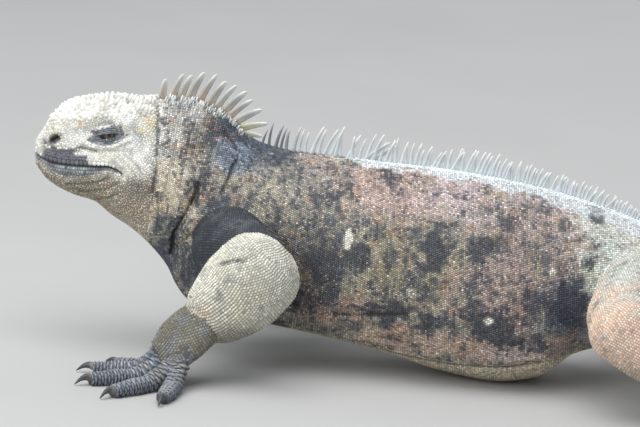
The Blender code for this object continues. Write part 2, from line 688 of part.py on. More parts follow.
def build_head(form, collection):
    """The skull with the upper lip, closed along the mouth, and the whole back of the head."""
    corner = form.place_at_x(MOUTH_CORNER_X)
    front = np.concatenate(
        [
            np.linspace(0, form.place("snout_face"), 6)[:-1],
            even_places(form.place("snout_face"), corner, HEAD_STEP),
        ]
    )
    back = even_places(corner, form.place("nape") - GAP / 2, HEAD_STEP)
    places = np.concatenate([front, back[1:]])
    rings = skin_rings(form, places, head_angles(form, places, 0.0))
    last_open = len(front) - 1
    around = rings.shape[1]
    right_mouth = around - MOUTH_ROW
    bm = bmesh.new()
    grid = []
    for index, ring in enumerate(rings):
        rows = range(MOUTH_ROW, right_mouth + 1) if index < last_open else range(around)
        grid.append({row: bm.verts.new(ring[row]) for row in rows})
    for index in range(len(rings) - 1):
        near, far = grid[index], grid[index + 1]
        for row in near:
            following = (row + 1) % around
            if following in near:
                bm.faces.new((near[row], near[following], far[following], far[row]))
        if index < last_open:
            bm.faces.new((near[MOUTH_ROW], near[right_mouth], far[right_mouth], far[MOUTH_ROW]))
    close_with_fan(bm, [grid[0][row] for row in sorted(grid[0])])
    wall = grid[last_open]
    close_with_fan(bm, [wall[row % around] for row in range(right_mouth, around + MOUTH_ROW + 1)])
    close_with_fan(bm, [grid[-1][row] for row in range(around)])
    bmesh.ops.triangulate(bm, faces=bm.faces)
    bmesh.ops.recalc_face_normals(bm, faces=bm.faces)
    return add_object("head", bm, collection, "skin_head"), front


def build_lower_jaw(form, front, collection):
    """The lower jaw, under the line of the mouth."""
    places = front.copy()
    places[-1] -= GAP
    rings = skin_rings(form, places, head_angles(form, places, GAP))
    right_mouth = rings.shape[1] - MOUTH_ROW
    rows = list(range(right_mouth, rings.shape[1])) + list(range(MOUTH_ROW + 1))
    return add_object("lower_jaw", lofted(rings[:, rows]), collection, "skin_head")


def almond(length, height, tilt, count=7):
    """The outline of the slit between the lids, as x and z about its middle."""
    upper = [(math.cos(t), math.sin(t)) for t in np.linspace(0, math.pi, count)]
    lower = [(-x, -z * 0.9) for x, z in upper[1:-1]]
    outline = []
    for x, z in upper + lower:
        px, pz = x * length / 2, z * height / 2 * (1 - 0.25 * abs(x))
        turned_x = px * math.cos(tilt) - pz * math.sin(tilt)
        outline.append((turned_x, px * math.sin(tilt) + pz * math.cos(tilt)))
    return outline


def prism(outline, centre, depth_from, depth_to):
    """A closed prism of an outline in the side view, from one y to another."""
    x0, z0 = centre
    return lofted(
        [
            [Vector((x0 + x, depth_from, z0 + z)) for x, z in outline],
            [Vector((x0 + x, depth_to, z0 + z)) for x, z in outline],
        ]
    )


def ball(centre, radius, segments=14, rings=9):
    """A sphere whose poles point along Y."""
    bm = bmesh.new()
    bmesh.ops.create_uvsphere(bm, u_segments=segments, v_segments=rings, radius=radius)
    bmesh.ops.rotate(bm, cent=(0, 0, 0), matrix=Matrix.Rotation(math.pi / 2, 3, "X"), verts=bm.verts)
    bmesh.ops.translate(bm, vec=centre, verts=bm.verts)
    bmesh.ops.triangulate(bm, faces=bm.faces)
    return bm


def fit_eyes(head, collection):
    """Lids round each eye, the socket under them and the eyeball in it."""
    tree = surface_tree(head)
    x, z = EYE_CENTRE
    centres = {}
    for name, side in SIDES.items():
        hit = tree.ray_cast(Vector((x, 0.0, z)), Vector((0.0, side, 0.0)))[0]
        centres[name] = Vector((x, hit.y - side * EYE_DEPTH, z))
    boolean(head, "UNION", [ball(centre, EYE_RADIUS + GAP + LID_THICKNESS) for centre in centres.values()])
    slit = almond(SLIT_LENGTH, SLIT_HEIGHT, SLIT_TILT)
    cutters = []
    for name, centre in centres.items():
        cutters.append(ball(centre, EYE_RADIUS + GAP))
        cutters.append(prism(slit, EYE_CENTRE, centre.y, centre.y + SIDES[name] * 0.02))
    boolean(head, "DIFFERENCE", cutters)
    for name, centre in centres.items():
        add_object(f"eye_{name}", ball(centre, EYE_RADIUS), collection, "eye")


def open_nostrils(head):
    """A shallow pit for each nostril."""
    tree = surface_tree(head)
    x, z = NOSTRIL_CENTRE
    pits = []
    for side in SIDES.values():
        hit = tree.ray_cast(Vector((x, 0.0, z)), Vector((0.0, side, 0.0)))[0]
        pit = ball((0, 0, 0), 1.0, 10, 6)
        bmesh.ops.scale(pit, vec=(NOSTRIL_SIZE[0], NOSTRIL_DEPTH, NOSTRIL_SIZE[1]), verts=pit.verts)
        bmesh.ops.translate(pit, vec=hit, verts=pit.verts)
        pits.append(pit)
    boolean(head, "DIFFERENCE", pits)


def node_rings(form, name, start, end, step, grow=0.0):
    """The rings of one length of the body, or those of a cutter that is larger by some growth."""
    places = even_places(form.place(start) + GAP / 2, form.place(end) - GAP / 2, step)
    angles = np.arange(NODE_SIDES[name]) * 2 * math.pi / NODE_SIDES[name]
    rings = skin_rings(form, places, angles, grow)
    if grow:
        middles = rings.mean(axis=1)
        rings[0] += GAP * (middles[0] - middles[1]) / np.linalg.norm(middles[0] - middles[1])
        rings[-1] += GAP * (middles[-1] - middles[-2]) / np.linalg.norm(middles[-1] - middles[-2])
    return rings


def build_body_node(form, name, start, end, step, collection, spines):
    """One length of the body between two stations, with the spines that grow from it."""
    rings = node_rings(form, name, start, end, step)
    colour = "skin_tail" if name.startswith("tail") else {"neck": "skin_neck"}.get(name, "skin_trunk")
    node = add_object(name, lofted(rings), collection, colour)
    if spines:
        boolean(node, "UNION", spines, "MANIFOLD")
    return node


def limb_tube(stations, grow=0.0, round_end=True):
    """A closed tube of oval section through its stations, with rounded ends."""
    stations = np.array(stations, float)
    centres = stations[:, :3]
    lengths = np.linalg.norm(np.diff(centres, axis=0), axis=1)
    knots = np.concatenate([[0.0], np.cumsum(lengths)])
    curves = [monotone_curve(knots, stations[:, column]) for column in range(5)]
    body = np.linspace(0, knots[-1], 2 + round(knots[-1] / LIMB_STEP))
    rings = []

    def add_ring(centre, heading, tall, thick):
        # The section's tall way is square to the run and to the sideways axis.
        sideways = np.array([0.0, 1.0, 0.0] if abs(heading[1]) < SIDEWAYS_LIMIT else [1.0, 0.0, 0.0])
        tall_way = np.cross(heading, sideways)
        tall_way /= np.linalg.norm(tall_way)
        thick_way = np.cross(tall_way, heading)
        turns = np.arange(LIMB_SIDES) * 2 * math.pi / LIMB_SIDES
        ring = centre + np.outer(np.cos(turns), tall_way) * tall + np.outer(np.sin(turns), thick_way) * thick
        ring[:, 2] = np.maximum(ring[:, 2], FLOOR)
        rings.append([Vector(point) for point in ring])

    values = np.array([[curve(place) for curve in curves] for place in body])
    tangent = np.gradient(values[:, :3], axis=0)
    tangent /= np.linalg.norm(tangent, axis=1, keepdims=True)

    def add_end(value, heading, outward, turns):
        tall, thick = value[3] + grow, value[4] + grow
        for turn in turns:
            out = outward * min(tall, thick) * math.cos(turn)
            size = math.sin(turn)
            add_ring(value[:3] + heading * out, heading, tall * size, thick * size)

    add_end(values[0], tangent[0], -1.0, LIMB_END_TURNS)
    for value, heading in zip(values, tangent):
        add_ring(value[:3], heading, value[3] + grow, value[4] + grow)
    if round_end:
        add_end(values[-1], tangent[-1], 1.0, LIMB_END_TURNS[::-1])
    return lofted(rings)


def oval_ring(centre, wide_way, tall_way, sides, first_turn=0.0, lowest=FLOOR):
    """Points round an oval, none of them lower than the height given."""
    ring = []
    for turn in np.arange(sides) * 2 * math.pi / sides + first_turn:
        point = centre + wide_way * math.cos(turn) + tall_way * math.sin(turn)
        point.z = max(point.z, lowest)
        ring.append(point)
    return ring


def palm_mesh(limb, across):
    """The flat wedge between the wrist and the knuckles."""
    palm, wrist = Vector(limb.palm), Vector(limb.wrist)
    run = (palm - wrist).normalized()
    up = run.cross(across).normalized()
    if up.z < 0:
        up = -up
    width = limb.palm_half_width
    rows = [(wrist.lerp(palm, share), tall, wide) for share, tall, wide in PALM_RINGS]
    ahead, tall, wide = PALM_END
    rows.append((palm + run * ahead, tall, wide))
    lowest = FLOOR + PALM_CLEAR
    return lofted(
        [
            oval_ring(centre, across * width * wide, up * tall, LIMB_SIDES, lowest=lowest)
            for centre, tall, wide in rows
        ]
    )


def digit_path(root, forward, length, half_width):
    """A digit's centre line: it comes down from the knuckle and lies flat on the floor."""
    drop = root.z - half_width * DIGIT_LIE
    path = []
    for share, _ in DIGIT_RINGS:
        left = 1 - min(1.0, share / DIGIT_DROP)
        path.append(root + forward * length * share - Vector((0, 0, drop * (1 - left**2))))
    return path


def build_hand(name, limb, collection, colour):
    """The palm and five digits as one solid, with five claws of their own."""
    palm, wrist = Vector(limb.palm), Vector(limb.wrist)
    ahead = math.radians(limb.digits[2][0])
    hang = -math.tan(math.radians(limb.roll))
    across = Vector((math.sin(ahead), -math.cos(ahead), hang)).normalized()
    knuckles = palm - (palm - wrist).normalized() * KNUCKLE_BACK
    hand = add_object(name, palm_mesh(limb, across), collection, colour)
    digits = []
    for number, (degrees, length, offset, half_width) in enumerate(limb.digits, start=1):
        angle = math.radians(degrees)
        forward = Vector((-math.cos(angle), -math.sin(angle), 0.0))
        sideways = Vector((-forward.y, forward.x, 0.0))
        path = digit_path(knuckles + across * offset, forward, length, half_width)
        rings = []
        for centre, (_, size) in zip(path, DIGIT_RINGS):
            wide = sideways * half_width * size
            tall = Vector((0, 0, half_width * size * DIGIT_FLAT))
            rings.append(oval_ring(centre, wide, tall, DIGIT_SIDES, math.pi / DIGIT_SIDES))
        digits.append(lofted(rings))
        claw_size = half_width * CLAW_WIDTH
        build_claw(f"claw_{name}_{number}", path[-1], forward, claw_size, limb.claw_length, collection)
    boolean(hand, "UNION", digits)
    return hand


def build_claw(name, base, forward, size, length, collection):
    """A curved, pointed claw just ahead of its digit's blunt end."""
    sideways = Vector((-forward.y, forward.x, 0.0))
    rings = []
    for share, rise, scale in CLAW_RINGS:
        centre = base + forward * (GAP + length * share) + Vector((0, 0, length * rise))
        wide = sideways * size * CLAW_NARROW * scale
        rings.append(oval_ring(centre, wide, Vector((0, 0, size * scale)), CLAW_SIDES, lowest=FLOOR + GAP))
    tip = base + forward * (GAP + length) - Vector((0, 0, base.z * CLAW_DIP))
    add_object(name, lofted(rings, tip), collection, "claw")


def moved_limb(limb, shift, turn):
    """A limb whose lower parts lie further back, with its hand or foot turned outwards by some degrees."""
    root_shift = shift * ROOT_SHIFT_SHARE
    steps = np.linspace(root_shift, shift, len(limb.upper))
    upper = tuple((x + step, *others) for step, (x, *others) in zip(steps, limb.upper))
    lower = tuple((x + shift, *others) for x, *others in limb.lower)
    wrist, palm = Vector(limb.wrist), Vector(limb.palm)
    turned = wrist + Matrix.Rotation(math.radians(turn), 3, "Z") @ (palm - wrist) + Vector((shift, 0, 0))
    digits = tuple((angle + turn, *others) for angle, *others in limb.digits)
    wrist_there = (limb.wrist[0] + shift, *limb.wrist[1:])
    return limb._replace(upper=upper, lower=lower, wrist=wrist_there, palm=tuple(turned), digits=digits)


def mirrored(bm):
    """Turns a closed mesh of the left side into that of the right side."""
    bmesh.ops.scale(bm, vec=(1, -1, 1), verts=bm.verts)
    bmesh.ops.reverse_faces(bm, faces=bm.faces)
    return bm


def mirror_object(obj):
    """Turns an object's mesh of the left side into that of the right side."""
    bm = bmesh.new()
    bm.from_mesh(obj.data)
    mirrored(bm).to_mesh(obj.data)
    bm.free()


def body_cutters(form):
    """The lengths of the body that carry limbs, a gap larger, to trim the limbs where they meet it."""
    cutters = []
    for name, start, end, step in BODY_NODES[:3]:
        rings = node_rings(form, name, start, end, step, GAP)
        cutters.append(lofted(rings))
    return cutters


def build_limb(form, names, limb, side, colours, collection):
    """The three parts of one leg, each trimmed a gap clear of the one that it grows from."""
    upper_name, lower_name, hand_name = (f"{name}_{side}" for name in names)
    before = set(collection.objects)
    upper = add_object(upper_name, limb_tube(limb.upper), collection, colours[0])
    lower = add_object(lower_name, limb_tube(limb.lower, round_end=False), collection, colours[1])
    hand = build_hand(hand_name, limb, collection, colours[2])
    boolean(upper, "DIFFERENCE", [limb_tube(limb.lower, GAP, round_end=False)])
    boolean(hand, "DIFFERENCE", [limb_tube(limb.lower, GAP, round_end=False)])
    if side == "right":
        for obj in collection.objects:
            if obj not in before:
                mirror_object(obj)
    boolean(upper, "DIFFERENCE", body_cutters(form))
    boolean(lower, "DIFFERENCE", body_cutters(form))


def main():
    """Builds the whole animal."""
    for obj in list(bpy.data.objects):
        bpy.data.objects.remove(obj)
    collection = bpy.data.collections.new("marine_iguana")
    bpy.context.scene.collection.children.link(collection)
    form = BodyForm(STATIONS)

    head, front = build_head(form, collection)
    build_lower_jaw(form, front, collection)
    fit_eyes(head, collection)
    open_nostrils(head)
    boolean(head, "UNION", crown_tubercles(form, surface_tree(head)))

    nape = form.place("nape") + NAPE_SPINE_ENDS[0], form.place("neck_4") - NAPE_SPINE_ENDS[1]
    nape_step = (nape[1] - nape[0]) / (NAPE_SPINES - 1)
    back = form.place("shoulder") + BACK_SPINE_ENDS[0], form.place("vent") - BACK_SPINE_ENDS[1]
    spines = {
        "neck": crest_spines(form, *nape, nape_step, NAPE_SPINE_HEIGHTS, NAPE_SPINE_LEANS),
        "torso": crest_spines(form, *back, BACK_SPINE_STEP, BACK_SPINE_HEIGHTS, BACK_SPINE_LEANS),
    }
    tail_nodes = [row for row in BODY_NODES if row[0].startswith("tail")]
    for index, (name, start, end, _) in enumerate(tail_nodes):
        share = np.array([index, index + 0.5, index + 1]) / len(tail_nodes)
        heights = np.interp(share, np.linspace(0, 1, len(TAIL_SPINE_HEIGHTS)), TAIL_SPINE_HEIGHTS)
        first, last = form.place(start) + TAIL_SPINE_ENDS[0], form.place(end) - TAIL_SPINE_ENDS[1]
        spines[name] = crest_spines(form, first, last, TAIL_SPINE_STEP, heights, TAIL_SPINE_LEANS)
    for name, start, end, step in BODY_NODES:
        build_body_node(form, name, start, end, step, collection, spines.get(name))

    arm_names, arm_colours = ("upper_arm", "forearm", "hand"), ("skin_neck", "skin_arm", "skin_hand")
    leg_names, leg_colours = ("thigh", "shank", "foot"), ("skin_leg", "skin_leg", "skin_hand")
    build_limb(form, arm_names, ARM_LEFT, "left", arm_colours, collection)
    right_arm = moved_limb(ARM_LEFT, RIGHT_ARM_SHIFT, RIGHT_ARM_TURN)
    build_limb(form, arm_names, right_arm, "right", arm_colours, collection)
    build_limb(form, leg_names, LEG_LEFT, "left", leg_colours, collection)
    right_leg = moved_limb(LEG_LEFT, RIGHT_LEG_SHIFT, RIGHT_LEG_TURN)
    build_limb(form, leg_names, right_leg, "right", leg_colours, collection)


if __name__ == "__main__":
    main()
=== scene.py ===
"""Looks of a life-size marine iguana that lies on the floor with its head raised.

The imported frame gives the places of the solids. One skin with folds replaces the nodes of flesh,
and scales, scutes, spines, lids, eyes and claws lie over it as meshes of their own.
The head points along -X, the animal's left side faces -Y, and all sizes are in metres.
"""

import json
import logging
import math
from dataclasses import dataclass, field
from enum import Enum
from itertools import product
from typing import Callable, NamedTuple

import bmesh
import bpy
import numpy as np
from mathutils import Matrix, Vector
from mathutils.bvhtree import BVHTree

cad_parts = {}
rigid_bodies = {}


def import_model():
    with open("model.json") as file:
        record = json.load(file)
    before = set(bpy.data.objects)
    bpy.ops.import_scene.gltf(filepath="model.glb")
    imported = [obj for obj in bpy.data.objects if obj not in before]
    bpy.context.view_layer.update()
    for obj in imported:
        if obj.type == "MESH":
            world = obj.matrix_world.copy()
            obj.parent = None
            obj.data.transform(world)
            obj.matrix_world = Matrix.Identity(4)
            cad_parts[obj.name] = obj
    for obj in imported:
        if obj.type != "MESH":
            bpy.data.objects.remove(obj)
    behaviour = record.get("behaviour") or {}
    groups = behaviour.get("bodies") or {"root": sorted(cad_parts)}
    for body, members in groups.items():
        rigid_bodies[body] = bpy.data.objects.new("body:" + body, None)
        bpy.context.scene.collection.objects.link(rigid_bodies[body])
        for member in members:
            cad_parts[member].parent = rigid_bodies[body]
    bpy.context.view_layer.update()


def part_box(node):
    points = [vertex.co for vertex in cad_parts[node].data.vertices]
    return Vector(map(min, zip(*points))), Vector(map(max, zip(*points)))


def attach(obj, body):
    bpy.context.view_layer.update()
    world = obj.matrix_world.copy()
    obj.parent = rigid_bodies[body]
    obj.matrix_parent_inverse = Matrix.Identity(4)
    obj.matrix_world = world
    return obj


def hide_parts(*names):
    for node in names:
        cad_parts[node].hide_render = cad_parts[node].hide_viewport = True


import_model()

log = logging.getLogger("marine_iguana")

SEED = 23
FLOOR = 0.0
COAT_DEPTH = 0.00045  # how far the skin lies inside the solids, under its scales
BODY = "root"
TONE = "tone"  # the colour attribute that skin and coat share
UNWRAP = "OFBake"
UNWRAP_PATCH = 0.0026  # the size of one scale on the map
UNWRAP_SPAN = 0.97
UNWRAP_MARGIN = 0.015
FINE_STEP = 1e-4  # how far apart two places lie whose difference gives a direction
EYE_SLANT = 0.22  # how much the eyes' long axis rises towards the back
SKIN_SHADE = 0.42  # how much painted shade darkens the skin in the gaps between the scales
LEG_SHADE = 0.6  # the same painted shade on the legs
HEAD_SHADE = 0.72  # and on the pale head

Colour = tuple[float, float, float]
Array = np.ndarray
Line = tuple[tuple[float, float], ...]


class Side(Enum):
    """One side of the animal, with the sign of its Y axis."""

    LEFT = -1.0
    RIGHT = 1.0

    @property
    def word(self) -> str:
        """The word that the frame's node names end in."""
        return self.name.lower()


class Palette:
    """Colours of the animal, as linear red, green and blue."""

    CREAM_WHITE: Colour = (0.86, 0.85, 0.8)
    CREAM: Colour = (0.66, 0.64, 0.55)
    CHEEK: Colour = (0.64, 0.63, 0.57)
    SPECK: Colour = (0.22, 0.23, 0.23)
    LABIAL: Colour = (0.088, 0.092, 0.112)
    LID: Colour = (0.075, 0.085, 0.1)
    # Painted highlight on the crests of the lid folds.
    LID_FOLD: Colour = (0.4, 0.42, 0.45)
    LID_RIM: Colour = (0.2, 0.22, 0.25)
    LIP_BLUE: Colour = (0.24, 0.27, 0.29)
    CHIN: Colour = (0.43, 0.38, 0.28)
    THROAT: Colour = (0.62, 0.55, 0.44)
    JOWL: Colour = (0.42, 0.375, 0.31)
    NECK_GREY: Colour = (0.175, 0.185, 0.185)
    # Painted shade in creases: the chin folds, the fold at the back of the head and the forearm's crease.
    NECK_DARK: Colour = (0.05, 0.056, 0.064)
    BLOTCH: Colour = (0.046, 0.055, 0.076)
    # A pink tone with painted shade, for the forearm's underside.
    LOW_PINK: Colour = (0.31, 0.26, 0.235)
    BELLY: Colour = (0.63, 0.55, 0.42)
    RIDGE: Colour = (0.7, 0.76, 0.78)
    CONE: Colour = (0.7, 0.74, 0.72)
    WHITE_SPOT: Colour = (0.82, 0.78, 0.66)
    FOREARM: Colour = (0.649, 0.638, 0.551)
    FOREARM_YELLOW: Colour = (0.56, 0.5, 0.27)
    FOREARM_PINK: Colour = (0.6, 0.44, 0.33)
    ARM_DARK: Colour = (0.042, 0.05, 0.062)
    HAND: Colour = (0.195, 0.185, 0.145)
    DIGIT: Colour = (0.2, 0.225, 0.27)
    # Painted highlight on the upward-facing tops of the digits.
    DIGIT_PALE: Colour = (0.44, 0.46, 0.5)
    THIGH: Colour = (0.76, 0.56, 0.44)
    RUMP: Colour = (0.52, 0.54, 0.49)
    TAIL: Colour = (0.25, 0.23, 0.185)
    TAIL_DARK: Colour = (0.07, 0.076, 0.086)
    SPINE: Colour = (0.56, 0.6, 0.62)
    SPINE_TIP: Colour = (0.84, 0.85, 0.8)
    SPINE_WARMTH: Colour = (0.05, 0.02, 0.0)
    NAPE_TIP: Colour = (0.78, 0.76, 0.69)
    SPINE_FOOT: Colour = (0.58, 0.5, 0.38)
    SPINE_DARK: Colour = (0.12, 0.13, 0.14)
    SPINE_ORANGE: Colour = (0.6, 0.42, 0.27)
    SPINE_MOSS: Colour = (0.5, 0.5, 0.24)
    # Painted shade in folds, grooves, the nostrils, the mouth and the slit between the lids.
    GROOVE: Colour = (0.018, 0.018, 0.018)
    BLOTCH_BLUE: Colour = (0.082, 0.1, 0.132)
    BLOTCH_DEEP: Colour = (0.032, 0.038, 0.053)
    BROWN_ORANGE: Colour = (0.42, 0.25, 0.15)
    YELLOW_GREY: Colour = (0.44, 0.42, 0.26)
    LOREAL: Colour = (0.34, 0.37, 0.36)
    YELLOW_BROWN: Colour = (0.66, 0.5, 0.24)
    ORANGE: Colour = (0.62, 0.3, 0.12)
    EAR: Colour = (0.42, 0.46, 0.48)
    MOSS: Colour = (0.16, 0.2, 0.07)
    IRIS: Colour = (0.06, 0.048, 0.042)
    IRIS_RIM: Colour = (0.16, 0.13, 0.1)
    EYE_DARK: Colour = (0.01, 0.009, 0.009)
    CLAW: Colour = (0.06, 0.062, 0.07)
    CLAW_PALE: Colour = (0.2, 0.19, 0.17)


class Station(NamedTuple):
    """One cross-section of the body, from its lowest to its top point in the middle plane."""

    name: str
    top: tuple[float, float]
    low: tuple[float, float]
    half_width: float
    widest: float = 0.46
    crown: float = 2.0
    keel: float = 2.2
    side: float = 0.0


STATIONS = (
    Station("snout", (-0.3345, 0.1385), (-0.3335, 0.133), 0.004, 0.5),
    Station("lip_front", (-0.3335, 0.145), (-0.3325, 0.127), 0.0088, 0.48),
    Station("snout_round", (-0.33, 0.1515), (-0.3285, 0.1215), 0.014, 0.45),
    Station("snout_face", (-0.3265, 0.158), (-0.324, 0.1165), 0.0176, 0.43),
    Station("nostril", (-0.32, 0.1662), (-0.317, 0.112), 0.0203, 0.42),
    Station("snout_back", (-0.314, 0.1728), (-0.309, 0.1085), 0.0222, 0.42),
    Station("brow_front", (-0.305, 0.1768), (-0.302, 0.1062), 0.0243, 0.42, 2.2),
    Station("chin_end", (-0.293, 0.1792), (-0.289, 0.1035), 0.027, 0.4, 2.3),
    Station("eye", (-0.2808, 0.181), (-0.2755, 0.0945), 0.0298, 0.38, 2.4),
    Station("jaw", (-0.2627, 0.1808), (-0.2616, 0.0868), 0.0335, 0.4, 2.3),
    Station("nape", (-0.2478, 0.1828), (-0.2493, 0.0776), 0.033, 0.42, 2.0),
    Station("neck_1", (-0.2319, 0.1835), (-0.2398, 0.0688), 0.0325, 0.44, 1.9),
    Station("neck_2", (-0.2158, 0.1812), (-0.2318, 0.0592), 0.0332, 0.45, 1.9),
    Station("neck_3", (-0.1999, 0.174), (-0.225, 0.0472), 0.0368, 0.46, 1.9),
    Station("neck_4", (-0.1867, 0.1634), (-0.2139, 0.0357), 0.0415, 0.47, 1.9),
    Station("shoulder", (-0.1723, 0.1558), (-0.1931, 0.029), 0.0475, 0.48, 1.9),
    Station("chest", (-0.1518, 0.152), (-0.1627, 0.0262), 0.054, 0.47, 1.9, 2.3),
    Station("ribs", (-0.1156, 0.151), (-0.1152, 0.0205), 0.0605, 0.45, 1.9, 2.4),
    Station("waist", (-0.0794, 0.15), (-0.0713, 0.013), 0.0655, 0.43, 1.9, 2.3),
    Station("belly", (-0.0432, 0.149), (-0.0307, 0.003), 0.069, 0.41, 1.9, 2.15),
    Station("sag", (-0.0068, 0.1462), (0.0072, -0.0018), 0.0695, 0.4, 1.9, 2.1),
    Station("flank", (0.0298, 0.1415), (0.04, 0.004), 0.0655, 0.42, 1.9, 2.15),
    Station("groin", (0.0555, 0.1365), (0.066, 0.024), 0.0575, 0.45, 1.9, 2.2),
    Station("pelvis", (0.0814, 0.13), (0.092, 0.031), 0.0485, 0.48, 1.9),
    Station("vent", (0.1085, 0.1215), (0.12, 0.03), 0.0402, 0.5, 1.9),
    Station("tail_root", (0.15, 0.1085), (0.158, 0.0235), 0.032, 0.48, 1.8),
    Station("tail_drop", (0.2, 0.0905), (0.205, 0.011), 0.0265, 0.46, 1.8),
    Station("tail_down", (0.25, 0.0735), (0.25, 0.0012), 0.022, 0.44, 1.8),
    Station("tail_laid", (0.3, 0.06), (0.3, -0.0012), 0.0185, 0.42, 1.8),
    Station("tail_quarter", (0.37, 0.049), (0.37, -0.0012), 0.015, 0.42, 1.8, 2.2, 0.007),
    Station("tail_half", (0.45, 0.0415), (0.45, -0.0012), 0.0122, 0.42, 1.8, 2.2, 0.019),
    Station("tail_bend", (0.54, 0.0335), (0.54, -0.0011), 0.0096, 0.43, 1.8, 2.2, 0.022),
    Station("tail_slim", (0.63, 0.026), (0.63, -0.001), 0.0073, 0.44, 1.8, 2.2, 0.007),
    Station("tail_thin", (0.71, 0.018), (0.71, -0.0008), 0.0051, 0.45, 1.8, 2.2, -0.021),
    Station("tail_end", (0.765, 0.01), (0.765, -0.0006), 0.0033, 0.46, 1.8, 2.2, -0.044),
    Station("tail_tip", (0.795, 0.0042), (0.795, -0.0004), 0.0018, 0.48, 2.0, 2.0, -0.058),
)

MOUTH_LINE = (
    (-0.335, 0.1362), (-0.33, 0.1345), (-0.324, 0.1328), (-0.3158, 0.1316), (-0.306, 0.1318),
    (-0.2957, 0.1327), (-0.28, 0.1345), (-0.274, 0.1333), (-0.2696, 0.1312),
)
CHEEK_WRINKLES = (
    ((-0.277, 0.1395), (-0.27, 0.1352), (-0.264, 0.129)),
    ((-0.2735, 0.1425), (-0.2655, 0.1375), (-0.259, 0.13)),
    ((-0.269, 0.1445), (-0.261, 0.14), (-0.255, 0.133)),
    ((-0.266, 0.129), (-0.261, 0.1215), (-0.26, 0.113)),
    ((-0.262, 0.131), (-0.257, 0.123), (-0.256, 0.114)),
    ((-0.289, 0.148), (-0.278, 0.1462), (-0.27, 0.147)),
    ((-0.291, 0.162), (-0.286, 0.165), (-0.278, 0.1655)),
)
CHIN_FOLDS = (
    ((-0.309, 0.117), (-0.296, 0.119), (-0.284, 0.1235), (-0.276, 0.129)),
    ((-0.3, 0.112), (-0.29, 0.114), (-0.279, 0.119), (-0.271, 0.125)),
    ((-0.288, 0.107), (-0.279, 0.111), (-0.269, 0.118)),
)
# The x of this line is measured from the back of the elbow.
FOREARM_CREASE = ((-0.0563, 0.0887), (-0.0472, 0.0924), (-0.0394, 0.0939))
NAPE_FOLD = ((-0.2476, 0.1805), (-0.2457, 0.1585), (-0.2452, 0.1363), (-0.246, 0.11))
THROAT_FOLD = ((-0.2155, 0.129), (-0.2152, 0.1212), (-0.2209, 0.1059), (-0.229, 0.0904), (-0.23, 0.072))
ARM_FOLD = ((-0.227, 0.08), (-0.2093, 0.1003), (-0.1894, 0.1124), (-0.1798, 0.1096), (-0.164, 0.1))
BELLY_FOLD = ((-0.098, 0.0235), (-0.06, 0.018), (-0.02, 0.0165), (0.015, 0.019), (0.04, 0.025))
UNDER_EYE_FOLD = (
    (-0.2997, 0.1503), (-0.2937, 0.1482), (-0.284, 0.1478),
    (-0.2777, 0.1494), (-0.2716, 0.1533), (-0.2654, 0.1562),
)
NOSTRIL = ((-0.3216, 0.1478), (-0.3178, 0.1502))
UPPER_LIP_EDGE = ((-0.3284, 0.1464), (-0.3165, 0.1429), (-0.3037, 0.144), (-0.2957, 0.1414))
LOWER_LIP_EDGE = (
    (-0.3317, 0.1323), (-0.3243, 0.1283), (-0.3123, 0.1241), (-0.2957, 0.1256), (-0.282, 0.1314),
)
CROWN_EDGE = ((-0.327, 0.158), (-0.29, 0.168), (-0.25, 0.172))
JAW_LINE = (*MOUTH_LINE, (-0.245, 0.1275))


class Feature(NamedTuple):
    """A swelling or, with a negative height, a groove along a line on both sides of the body."""

    name: str
    line: Line
    reach: float
    height: float


